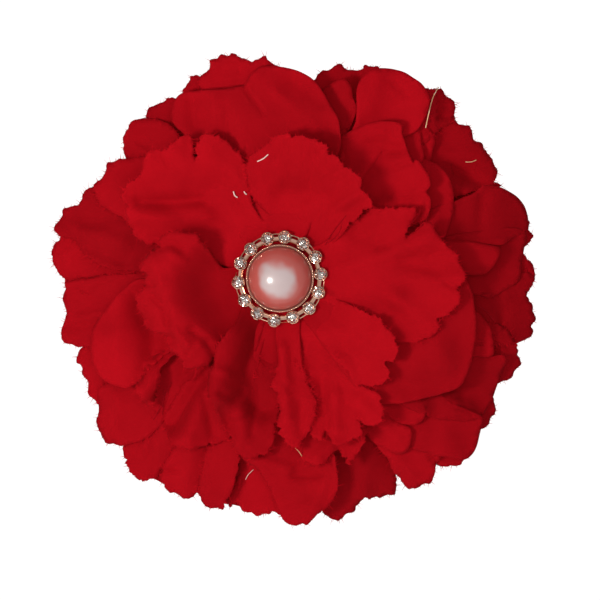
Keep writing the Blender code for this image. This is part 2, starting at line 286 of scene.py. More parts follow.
def cloth_material(name, colour, woven=False, translucency=0.0):
    """Cloth with slubs and faded patches. Woven cloth also has crossing threads and a brightness at each
    point, partly the dye's random tone and partly painted light and shade.
    """
    material, tree, shader = material_with(name, colour, 0.82, more=CLOTH_SHEEN)
    if woven:
        grain = add_node(tree, "ShaderNodeUVMap", uv_map="cloth").outputs["UV"]
    else:
        place = object_place(tree)
        millimetres = add_node(tree, "ShaderNodeVectorMath", operation="SCALE", Vector=place, Scale=1 / MM)
        grain = millimetres.outputs["Vector"]
    stretched = add_node(tree, "ShaderNodeMapping", Vector=grain, Scale=(0.6, 1.3, 1.0)).outputs["Vector"]
    slubs = add_node(tree, "ShaderNodeTexNoise", Vector=stretched, Scale=2.2, Detail=4.0, Roughness=0.7)
    height = slubs.outputs["Fac"]
    if woven:
        split = add_node(tree, "ShaderNodeSeparateXYZ", Vector=grain)
        waves = []
        for axis in ("X", "Y"):
            phase = add_math(tree, "MULTIPLY", split.outputs[axis], math.tau / THREAD_PITCH)
            waves.append(add_math(tree, "SINE", phase, 0.0))
        weave = add_math(tree, "MULTIPLY", waves[0], waves[1])
        weave = add_math(tree, "ABSOLUTE", weave, 0.0)
        weave = add_math(tree, "MULTIPLY", weave, 0.35)
        height = add_math(tree, "ADD", weave, height)
    add_bump(tree, shader, height, 0.55, 0.0001)
    patches = add_node(tree, "ShaderNodeTexNoise", Vector=grain, Scale=0.09, Detail=3.0, Roughness=0.6)
    strength = add_math(tree, "MULTIPLY_ADD", patches.outputs["Fac"], 0.35, 0.825)
    if woven:
        # The brightness read here is partly random dye and partly painted light and shade on the petals, and
        # a painted highlight on the frayed threads.
        tone = add_node(tree, "ShaderNodeAttribute", attribute_name="tone")
        strength = add_math(tree, "MULTIPLY", strength, tone.outputs["Fac"])
        threads = add_math(tree, "MULTIPLY_ADD", weave, 0.5, 0.93)
        strength = add_math(tree, "MULTIPLY", strength, threads)
    fine = add_math(tree, "MULTIPLY_ADD", slubs.outputs["Fac"], 0.36, 0.82)
    strength = add_math(tree, "MULTIPLY", strength, fine)
    tinted = add_node(tree, "ShaderNodeVectorMath", operation="SCALE", Vector=colour, Scale=strength)
    tree.links.new(tinted.outputs["Vector"], shader.inputs["Base Color"])
    if translucency:
        glow = (1.3 * colour[0], 2 * colour[1], 2 * colour[2], 1.0)
        through = add_node(tree, "ShaderNodeBsdfTranslucent", Color=glow)
        mix = add_node(tree, "ShaderNodeMixShader", Fac=translucency)
        tree.links.new(shader.outputs["BSDF"], mix.inputs[1])
        tree.links.new(through.outputs["BSDF"], mix.inputs[2])
        tree.links.new(mix.outputs["Shader"], tree.nodes["Material Output"].inputs["Surface"])
    return material


def metal_material(name, colour, roughness):
    """Plated metal with faint polishing marks and uneven gloss."""
    material, tree, shader = material_with(name, colour, roughness, 1.0)
    place = object_place(tree)
    marks = add_node(tree, "ShaderNodeTexNoise", Vector=place, Scale=900.0, Detail=3.0, Roughness=0.6)
    gloss = add_math(tree, "MULTIPLY_ADD", marks.outputs["Fac"], roughness * 0.8, roughness * 0.6)
    tree.links.new(gloss, shader.inputs["Roughness"])
    add_bump(tree, shader, marks.outputs["Fac"], 0.12, 0.00005)
    return material


def pearl_material():
    """Coated imitation pearl under a thin clear coat, its colour a painted reflection: greyish cream where it
    faces the camera, for the lights in front, and rosy red towards the rim, partly its own pink and partly
    the red petals round it.
    """
    coat = {"Coat Weight": 1.0, "Coat Roughness": 0.16}
    material, tree, shader = material_with("pearl_nacre", (0.5, 0.2, 0.18), 0.45, more=coat)
    ripple = add_node(tree, "ShaderNodeTexNoise", Vector=object_place(tree), Scale=150.0, Detail=2.0)
    # Painted reflection: the pale middle and the red rim follow how squarely the pearl faces the camera, with
    # a ragged edge from the ripple.
    facing = add_node(tree, "ShaderNodeLayerWeight", Blend=0.3)
    painted_reflection_edge = add_math(tree, "MULTIPLY_ADD", ripple.outputs["Fac"], 0.3, -0.145)
    painted_reflection = add_math(tree, "ADD", facing.outputs["Facing"], painted_reflection_edge)
    colours = ((0.43, 0.335, 0.335), (0.4, 0.075, 0.062))
    tree.links.new(add_ramp(tree, painted_reflection, colours, 0.11, "EASE"), shader.inputs["Base Color"])
    add_bump(tree, shader, ripple.outputs["Fac"], 0.1, 0.0004)
    return material


def crystal_material():
    """Foil-backed crystal: facets of the back, seen through the front, painted light or dark cell by cell as
    painted glints and painted dark reflections of what is round them.
    """
    coat = {"Coat Weight": 1.0, "Coat Roughness": 0.02}
    material, tree, shader = material_with("foiled_crystal", (0.95, 0.86, 0.8), 0.06, 0.95, coat)
    glint_facets = add_node(tree, "ShaderNodeTexVoronoi", Vector=object_place(tree), Scale=1700.0)
    # Painted glints: each facet cell is painted bright or dark brown.
    colour = add_ramp(tree, glint_facets.outputs["Color"], ((0.3, 0.2, 0.17), (1.0, 0.95, 0.9)))
    tree.links.new(colour, shader.inputs["Base Color"])
    add_bump(tree, shader, glint_facets.outputs["Distance"], 0.9, 0.0004)
    return material


def glue_material():
    """Hot glue: cloudy, uneven and a little glossy."""
    depth = {"Subsurface Weight": 0.4, "Subsurface Radius": (0.002, 0.0015, 0.001)}
    material, tree, shader = material_with("set_glue", (0.62, 0.58, 0.48), 0.35, more=depth)
    lumps = add_node(tree, "ShaderNodeTexNoise", Vector=object_place(tree), Scale=260.0, Detail=2.0)
    add_bump(tree, shader, lumps.outputs["Fac"], 0.6, 0.0006)
    return material


RED_CLOTH = cloth_material("red_silk", (0.375, 0.0026, 0.0075), woven=True, translucency=0.18)


# ---------------------------------------------------------------- petals

# Each petal has its cut edge, anticlockwise from its hub, the heights of that edge at its first side, tip and
# last side, and how far it arches forwards on the way. A fold is the points of a line, then rise and width:
# a crest, or a crease where the rise is below zero. Later petals of a layer lie on earlier ones.
# Each petal's brightness factor is partly the dye's random tone and partly painted light and shade: above one
# on the raised front petals that face the light, below one on those that fall away from it or lie in shade.
FRONT_PETALS = {
    "right": dict(
        outline=[(8.2, -4.6), (15, -7.5), (21, -11.8), (25.2, -13.6), (29, -13.8), (31.5, -12.9),
            (33.6, -11.6), (34.4, -10), (33.8, -8.9), (35.8, -8.2), (37.8, -6.2), (38.9, -4), (38.3, -2),
            (39.6, -0.6), (39.5, 1.2), (38.5, 3.5), (38.2, 5), (36.6, 6.3), (35.3, 7.6), (34.2, 9),
            (33, 10.4), (32.9, 11.7), (31.2, 12.1), (28.9, 10.2), (26.4, 8.5), (28.1, 11.5), (29.5, 13.7),
            (28.8, 15.1), (26, 15.1), (22, 14.9), (19.3, 14.9), (16.8, 13), (13, 10), (9.6, 7.8),
            (6.4, 6.6)],
        heights=(16.5, 18, 21.5), arch=1.2, edge="frayed", tone=1.05,
        folds=[([(16.5, 9.3), (18.6, 9)], -0.9, 1.6), ([(21.6, 7), (23, 7.2)], -1.0, 1.6),
            ([(28, 7), (32, 8.8)], 1.1, 2.0), ([(27, 4), (34, 1.6)], -0.9, 1.6),
            ([(13, 2.5), (25, -3.6)], 0.8, 2.6), ([(25, -5), (32, -10)], 1.0, 2.0),
            ([(35.6, -1), (38.4, -2.4)], -0.7, 0.45), ([(30, 3.2), (33.6, 5.6)], -0.3, 0.35),
            ([(10.6, 7), (14, 13.4)], -0.4, 0.3)],
    ),
    "top": dict(
        outline=[(7.4, 5.2), (10.8, 6.9), (14.4, 10.6), (17, 13.2), (19, 14.7), (19.6, 16), (18.4, 18.2),
            (17.2, 19.3), (17.1, 21.3), (15.2, 22.9), (13.6, 24.4), (11.8, 25.8), (10.2, 26.6),
            (9.9, 28.2), (7.6, 29.4), (4.5, 30.3), (1, 30.6), (-1.2, 30.2), (-2.4, 28.8), (-4.8, 27.2),
            (-6.8, 25.6), (-7.1, 22), (-6.4, 18.4), (-4.6, 16), (-2.1, 13.5), (-0.3, 11.3), (-1.6, 8.9)],
        heights=(27, 24.5, 21), arch=-1.8, edge="frayed", tone=1.05,
        folds=[([(0.6, 18), (3, 18)], -1.5, 2.2), ([(7, 18.6), (9, 18)], -0.8, 1.5),
            ([(-2, 24.5), (9, 22.5)], 0.9, 3.0), ([(13, 15.8), (18.2, 18.4)], 1.1, 1.2),
            ([(-1.6, 25.6), (-1.2, 25.9)], -0.6, 0.6), ([(9, 20.3), (14.8, 20.6)], -0.4, 0.3),
            ([(8.6, 20.9), (13.6, 23.4)], -0.4, 0.3)],
    ),
    "upper_left": dict(
        outline=[(-0.6, 9), (-1.7, 11.4), (-3.9, 12.9), (-5.5, 15.2), (-6.4, 17.6), (-6.8, 21),
            (-7.3, 25), (-9.5, 27.6), (-12.3, 30), (-14.5, 30.9), (-16.9, 30.5), (-17.8, 28.6),
            (-18.1, 25.2), (-18.5, 28.5), (-18.9, 30.5), (-20.4, 30.5), (-22.5, 29.1), (-24.6, 27.7),
            (-27.2, 27.4), (-28.7, 25.8), (-29.5, 23.4), (-31, 21.2), (-33, 20), (-33.9, 18.2),
            (-33.4, 16.6), (-32.5, 15.5), (-33.3, 14.6), (-32.7, 12.8), (-31.9, 10.6), (-30.8, 8.6),
            (-28.8, 7.4), (-26.8, 7.4), (-22, 6.5), (-14, 3.5), (-9, 1.4)],
        heights=(20.5, 19, 16), arch=-0.6, edge="frayed", tone=1.09,
        folds=[([(-30, 16.4), (-17, 16.8)], -1.5, 1.3), ([(-31, 13.2), (-16, 13)], 1.0, 1.6),
            ([(-19, 18), (-13, 20)], -1.0, 2.3), ([(-15, 27), (-10, 22)], 0.9, 2.2),
            ([(-23, 28), (-20, 25)], 0.5, 1.8), ([(-25, 26.8), (-23.8, 24.4)], -0.4, 0.35)],
    ),
    "left": dict(
        outline=[(-9.2, 2.8), (-12.2, 2.3), (-14, 4.5), (-16, 7.4), (-18, 9.2), (-20, 9.9), (-23, 9.8),
            (-25.2, 9), (-26.4, 6.8), (-28.2, 4.8), (-29.8, 3.1), (-29.9, 1.8), (-28.8, 0.8),
            (-28.9, -1.6), (-30.4, -3.5), (-30.6, -6), (-29.3, -8.2), (-28.6, -10.3), (-26.4, -11.5),
            (-24.9, -11.8), (-24.2, -14), (-23.4, -15.7), (-21.7, -16.4), (-21.2, -18.2), (-19.5, -19.3),
            (-17, -19.2), (-14.6, -18.2), (-12.5, -14.5), (-9, -10.5), (-5.4, -7.4)],
        heights=(20, 17.5, 18), arch=0.0, edge="frayed", tone=0.95,
        folds=[([(-18, 8.5), (-22.5, 2), (-22.5, -6), (-18, -13)], 6.2, 6.0),
            ([(-23.6, -12.3), (-23.4, -13.4)], -1.3, 0.9), ([(-19.8, -16), (-17.9, -13.2)], -0.9, 0.45),
            ([(-28.8, -1.5), (-26.6, -1.2)], -0.8, 0.5), ([(-29.6, -6.6), (-28, -10)], -0.7, 0.9),
            ([(-27.4, 3.2), (-25.4, -1)], 0.8, 1.4), ([(-23.4, 5.6), (-20, 3.4)], 0.5, 0.6),
            ([(-27, -4), (-24.5, -6.4), (-24, -9.4)], -1.1, 0.8),
            ([(-19, -11), (-15.6, -13.6), (-13.8, -17)], -1.2, 0.8),
            ([(-22.6, -11), (-19.4, -14.6)], 1.0, 0.8),
            ([(-26.8, 6), (-23, 7.4), (-20.6, 6)], -0.8, 0.7)],
    ),
    "lower_left": dict(
        outline=[(-7.8, -4.8), (-9.4, -9.6), (-11.2, -11.2), (-12.6, -13.3), (-13.9, -15.2), (-14, -18),
            (-14.9, -20.2), (-15.4, -23.5), (-15.2, -25.6), (-13.9, -26.8), (-13.7, -29.2), (-12.4, -32),
            (-10.5, -34), (-9.8, -36.4), (-8.3, -38.5), (-5.5, -38.4), (-2, -37), (-1, -33), (-0.4, -29),
            (-0.2, -24), (0.3, -17), (1, -12), (1.4, -9)],
        heights=(22, 16.5, 15), arch=-0.5, edge="frayed", tone=0.86,
        folds=[([(-10.5, -12), (-13.5, -18), (-13.2, -25)], 6.4, 4.8),
            ([(-3, -13), (-3.4, -20), (-4, -27)], -4.6, 3.6), ([(-15, -25.8), (-11, -25.4)], 0.9, 0.6),
            ([(-12.4, -28), (-11, -31.5)], -0.9, 0.9), ([(-8.5, -28), (-8, -35)], 0.9, 1.6),
            ([(-5.3, -29.5), (-6.2, -33.5)], -0.6, 0.6), ([(-13.6, -19.6), (-11, -20.4)], 0.6, 0.7),
            ([(-12.6, -24.6), (-9.8, -26.2), (-8, -24.6)], -1.0, 0.8),
            ([(-9.6, -30), (-6.4, -28)], 0.8, 0.7)],
    ),
    "bottom_narrow": dict(
        outline=[(-1, -9), (-0.8, -14), (-0.5, -18), (-1.4, -21), (-1.5, -23.2), (-0.5, -26), (-0.2, -30),
            (-0.6, -32.3), (0.8, -34.3), (3.5, -36.9), (4.6, -35.2), (6.4, -32.5), (7.6, -29.5), (8, -27),
            (7.4, -24.9), (6, -22), (5, -19), (4.6, -15.5), (4.4, -12.5), (4.4, -8.4)],
        heights=(20, 17.5, 17.5), arch=0.4, edge="frayed", tone=1.03,
        folds=[([(0.6, -15), (1.6, -30)], 1.1, 1.3), ([(0.6, -22.3), (2, -24)], -0.5, 0.7),
            ([(4.6, -27), (4.4, -33)], -0.6, 0.9)],
    ),
    "lower_right": dict(
        outline=[(2.2, -8.9), (3, -13), (3.3, -17.5), (4.7, -20.5), (6.7, -23.6), (7.2, -26), (7.1, -29),
            (6.2, -32), (7.4, -34.6), (9, -34.6), (9.7, -32.8), (10.6, -34), (11.6, -35.4), (14.5, -35.5),
            (16.5, -34), (17.6, -33.3), (17.2, -31), (15.7, -28.9), (17.3, -30.5), (19, -31.7),
            (21.3, -31), (22.4, -28.6), (21.7, -26.6), (21, -24.5), (16.8, -22.9), (20.8, -23),
            (23.6, -21.2), (23.1, -18.6), (24.9, -17), (25.1, -14.8), (23.8, -11.6), (21.4, -8.9),
            (18, -7), (14.5, -5.4), (11.2, -3.8), (8.9, -1.8)],
        heights=(18, 22, 33), arch=-1.0, edge="frayed", tone=1.07,
        folds=[([(7, -12), (20, -13)], 1.3, 3.4), ([(4.4, -14), (5, -19)], -0.7, 1.0),
            ([(8.8, -22), (8.5, -28)], -1.2, 1.3), ([(11.5, -25), (12, -32)], 1.0, 1.4),
            ([(13.6, -23), (14.5, -27)], -0.6, 1.0), ([(17, -26), (20, -29)], 0.6, 1.5),
            ([(10.2, -30.5), (9.8, -34)], -0.6, 0.5), ([(5, -13.2), (9.6, -14.6)], -0.25, 0.25)],
    ),
}
SECOND_PETALS = {
    "right": dict(
        outline=[(4.5, -8), (15, -22), (21, -26.6), (25.5, -27), (30, -26.1), (34.5, -25.1),
            (38.3, -23.8), (40.2, -21.6), (41.6, -17), (42.4, -12.5), (42.3, -7.5), (41.5, -3.3),
            (39.6, 1), (36, 4), (20, 5), (9, 2.5)],
        heights=(14, 11, 13.5), arch=4.2, edge="smooth", tone=0.92,
        folds=[([(33, -8), (36, -18)], 0.7, 3.0), ([(27, -23), (38, -21)], -0.6, 2.5)],
    ),
    "upper_right": dict(
        outline=[(8.5, 3.5), (22, 9), (31, 12.4), (32.3, 14.5), (32.5, 17), (31.6, 18.6), (32.4, 20),
            (31.8, 22.4), (30.6, 24.6), (29.4, 25.6), (28.6, 25), (27.3, 28.4), (26.4, 31), (26, 33.3),
            (22.5, 33.9), (18.5, 33.2), (14.5, 31.4), (11.4, 29.2), (7, 22), (3, 8.5)],
        heights=(15.5, 14, 12.5), arch=0.6, edge="smooth", tone=1.1,
        folds=[([(19, 27.8), (26, 28)], -1.1, 1.4), ([(26.3, 17), (31.6, 18.5)], -0.6, 0.4),
            ([(24.5, 23.9), (28.6, 25)], -0.5, 0.35), ([(28, 22.5), (30, 16)], 0.6, 2.0),
            ([(14, 30), (22, 31.5)], 0.6, 1.5)],
    ),
    "top": dict(
        outline=[(5, 7.5), (11, 22), (13.1, 29), (12.9, 32.5), (11.9, 35.5), (9.9, 39), (7.9, 42.2),
            (5.5, 44.1), (2.5, 45.3), (-1, 45.9), (-4, 45.8), (-6.2, 44.3), (-8, 41.8), (-12, 41),
            (-17, 40.7), (-21, 40.2), (-23, 38), (-23.4, 35), (-22.2, 32.4), (-19.5, 30), (-15, 22),
            (-7, 6)],
        heights=(15.5, 11.8, 10.5), arch=2.8, edge="smooth", tone=1.04,
        folds=[([(-8, 41.8), (-3.6, 35.7)], -0.55, 0.5), ([(-1, 40.5), (9, 31.5)], 0.5, 1.2),
            ([(3, 42.5), (9, 38)], -0.9, 2.2), ([(-19, 38), (-18.6, 33)], -0.7, 1.5),
            ([(-14.5, 39), (-14, 33)], 0.6, 1.6), ([(-11.5, 37), (-11, 33)], -0.4, 1.2)],
    ),
    "left": dict(
        outline=[(-8.8, 2), (-20, 2), (-28.5, 0), (-30, -0.1), (-32, -0.8), (-35, -3.6), (-38.5, -7.9),
            (-40.4, -11), (-40.8, -14.5), (-40.4, -18.5), (-38.8, -21.3), (-36, -23), (-33, -23.6),
            (-30.5, -22.4), (-28.5, -20), (-24, -16), (-8, -5)],
        heights=(12, 10.5, 12), arch=2.6, edge="smooth", tone=1.03,
        folds=[([(-35, -6), (-36.5, -18)], 1.0, 2.8), ([(-27.6, -7), (-26.4, -19)], -3.8, 3.8)],
    ),
    "lower_left": dict(
        outline=[(-8, -5.5), (-17.5, -19), (-21.5, -24), (-25.2, -30), (-24.6, -33), (-24.2, -34.8),
            (-22.8, -36), (-19.5, -36.7), (-16.5, -36.3), (-13, -35.6), (-10.4, -34.8), (-8, -25),
            (-3, -9)],
        heights=(4, 11.5, 12), arch=0.6, edge="frayed", tone=0.94,
        folds=[([(-17, -17), (-20, -21), (-24.4, -29.5)], -5.5, 3.8),
            ([(-16, -26), (-14.4, -33.5)], -0.9, 1.2), ([(-18.6, -26), (-20, -34)], 1.2, 2.0)],
    ),
    "bottom": dict(
        outline=[(-5, -7.5), (-9.5, -22), (-10.2, -34), (-9.6, -36.8), (-8.4, -38.9), (-6.3, -40.2),
            (-4.2, -42.2), (-2, -46), (-0.2, -50.8), (1, -52.7), (3.3, -53.6), (4.8, -53.1), (6, -53.3),
            (7.3, -52), (8.4, -50.8), (10.5, -49.4), (12.1, -46.8), (12.6, -43.5), (12.2, -40.8),
            (11, -33), (4, -8)],
        heights=(10.5, 9.5, 13), arch=1.0, edge="cut", tone=0.94,
        folds=[([(-7.5, -38.5), (2, -41.2)], 0.8, 1.2), ([(3, -42.6), (8.5, -42.6)], -0.8, 0.9),
            ([(0, -48), (6, -46.5)], -0.9, 2.2), ([(9.4, -43.5), (7.4, -50)], 0.6, 1.5)],
    ),
    "bottom_hem": dict(
        outline=[(1.5, -9), (3, -30), (4.2, -37), (5.3, -39.2), (7.5, -40.4), (10, -39.4), (12.8, -36.6),
            (13.4, -38.5), (15.2, -40.4), (16.3, -38.3), (17.8, -36), (18.7, -33.5), (18.4, -30),
            (14, -20), (8, -6)],
        heights=(14, 13.5, 15.5), arch=0.8, edge="frayed", tone=1.0,
        folds=[([(8, -38.5), (12, -35)], 0.6, 1.0)],
    ),
}
THIRD_PETALS = {
    "right_round": dict(
        outline=[(9, 1), (30, 5), (43, 7.3), (48.5, 7.4), (51, 9.2), (53.8, 10.4), (54.3, 13),
            (53.4, 16.2), (51.2, 18.4), (48, 19.9), (44.5, 20.2), (41, 18), (30, 14), (8, 4)],
        heights=(6, 2, 6), arch=5.4, edge="smooth", tone=0.85,
        folds=[([(43.6, 10), (44, 18)], -0.9, 1.4)],
    ),
    "small_right": dict(
        outline=[(9, 0), (36, 0.5), (44.3, 1), (46.2, 2.6), (47.6, 5), (47.5, 6.9), (45, 7.4), (36, 8),
            (9, 3)],
        heights=(8, 8.5, 8), arch=2.0, edge="smooth", tone=0.95,
    ),
    "behind_right": dict(
        outline=[(9, 2), (28, 7), (34.6, 8), (36.3, 10.6), (37.4, 14.3), (37.6, 18), (37, 21.3),
            (35.4, 23.6), (33.2, 25.1), (30, 25.8), (24, 22), (7, 6)],
        heights=(10, 10, 10.5), arch=1.5, edge="smooth", tone=1.05,
    ),
    "dark_upper_right": dict(
        outline=[(8, 5), (27, 22), (30.9, 25.4), (30.8, 29), (30.4, 32), (30.2, 33.4), (27, 33.5),
            (24, 31), (5, 7)],
        heights=(8, 9.5, 10.5), arch=0.5, edge="smooth", tone=1.07,
    ),
    "upper_right_round": dict(
        outline=[(7, 6), (22, 27), (29.5, 32), (31.2, 34.4), (32.3, 37.4), (32.2, 39.8), (30.9, 42),
            (28.8, 43.6), (26, 45.1), (22.5, 45.5), (20.3, 45.2), (18, 43.6), (16.6, 41), (16.5, 38),
            (16, 33), (4, 8.5)],
        heights=(10, 10, 11.5), arch=3.0, edge="smooth", tone=1.17,
        folds=[([(24.8, 42.2), (27.4, 40)], -0.5, 0.6), ([(19, 37), (21, 43)], 0.5, 1.8)],
    ),
    "small_top": dict(
        outline=[(4, 8), (14, 30), (16.5, 36.2), (15.9, 39), (15.3, 41.8), (13.6, 43.4), (11, 42.2),
            (9.3, 41), (8, 37), (1.5, 9)],
        heights=(10.5, 9.5, 8), arch=1.8, edge="smooth", tone=1.0,
    ),
    "top": dict(
        outline=[(1, 9), (2, 38), (0, 45.7), (-1.4, 46.4), (-2.4, 47.3), (-3.3, 48.3), (-4.8, 47.5),
            (-6.1, 47), (-7.6, 47.7), (-9, 48.2), (-10.4, 48.9), (-11.4, 48.3), (-12.8, 48.6),
            (-13.6, 47.8), (-15, 47.5), (-15.5, 45.6), (-16.2, 44.6), (-17.2, 43.7), (-18, 43), (-14, 34),
            (-3.5, 8.5)],
        heights=(9.5, 9, 8), arch=2.6, edge="cut", tone=1.14,
        folds=[([(-12.5, 45.3), (-10.8, 45.1)], -0.4, 0.35), ([(-9.8, 45.6), (-8.8, 44.8)], -0.4, 0.35)],
    ),
    "upper_left": dict(
        outline=[(-5.5, 7), (-24, 22), (-29, 26.3), (-32, 26), (-34.8, 26), (-36.2, 25.4), (-37.5, 24.9),
            (-37.6, 23.8), (-38.4, 22.5), (-39.1, 21.3), (-40.4, 20), (-39.6, 17), (-36.5, 14.5),
            (-28, 10), (-8.7, 2.5)],
        heights=(9.5, 8.5, 10), arch=3.0, edge="cut", tone=1.02,
    ),
    "narrow_lower_left": dict(
        outline=[(-7.5, -5), (-22, -14), (-28.3, -17.6), (-29.9, -21.8), (-31.3, -24.4), (-30, -25.7),
            (-28.8, -26.8), (-27.5, -27.8), (-26.6, -24.5), (-25.6, -20.5), (-24.6, -18), (-18, -13),
            (-6.5, -6)],
        heights=(13, 15, 12.5), arch=1.0, edge="frayed", tone=0.97,
        folds=[([(-27.6, -19), (-28.8, -25)], 0.6, 1.0)],
    ),
    "bottom_left": dict(
        outline=[(-4.5, -7.8), (-15, -34), (-17, -42), (-17.9, -46.3), (-17.3, -47.5), (-16.7, -48.7),
            (-15.5, -50), (-13.2, -49.7), (-12.3, -50), (-11.8, -48.4), (-10.4, -46), (-9.5, -43),
            (-8.8, -39.5), (-8, -30), (-2, -8.8)],
        heights=(8, 7.5, 10), arch=3.0, edge="frayed", tone=0.91,
        folds=[([(-16.8, -38), (-17, -44)], 0.5, 1.2)],
    ),
    "bottom_right_lobe": dict(
        outline=[(3.5, -8.5), (16, -30), (20, -35.2), (22.5, -36.7), (25.5, -38), (27.8, -37.2),
            (28.4, -34.5), (28.2, -32.3), (25.5, -31), (20, -24), (7, -6)],
        heights=(9, 9.5, 9), arch=2.0, edge="smooth", tone=1.0,
        folds=[([(22, -32), (26, -35.5)], 0.6, 1.6)],
    ),
    "tip_lower_right": dict(
        outline=[(5.5, -7.5), (18, -24), (22.2, -28.7), (25, -30.9), (28, -31.7), (30.4, -31.2),
            (31.5, -29.6), (31.2, -27), (26, -22), (8, -5)],
        heights=(10, 10.5, 10), arch=1.6, edge="smooth", tone=1.0,
    ),
    "lower_right_strip": dict(
        outline=[(6, -7), (26, -27), (32, -29.9), (35.5, -30.7), (40, -31.1), (43.5, -30.4), (45.6, -28),
            (47, -24.8), (48.5, -20.6), (49.5, -17.8), (48.5, -16.6), (45.5, -16.8), (38, -14), (9, -3)],
        heights=(8, 2.5, 4), arch=4.4, edge="smooth", tone=0.82,
        folds=[([(35, -27.5), (44, -26)], -0.6, 1.2)],
    ),
    "small_lower_right": dict(
        outline=[(8.5, -4), (34, -16), (43, -17), (46.3, -16.7), (46.4, -14), (45.9, -11), (44.5, -8.8),
            (42.6, -7), (34, -6), (9, -1)],
        heights=(8.5, 6.5, 8), arch=2.0, edge="smooth", tone=0.93,
    ),
}
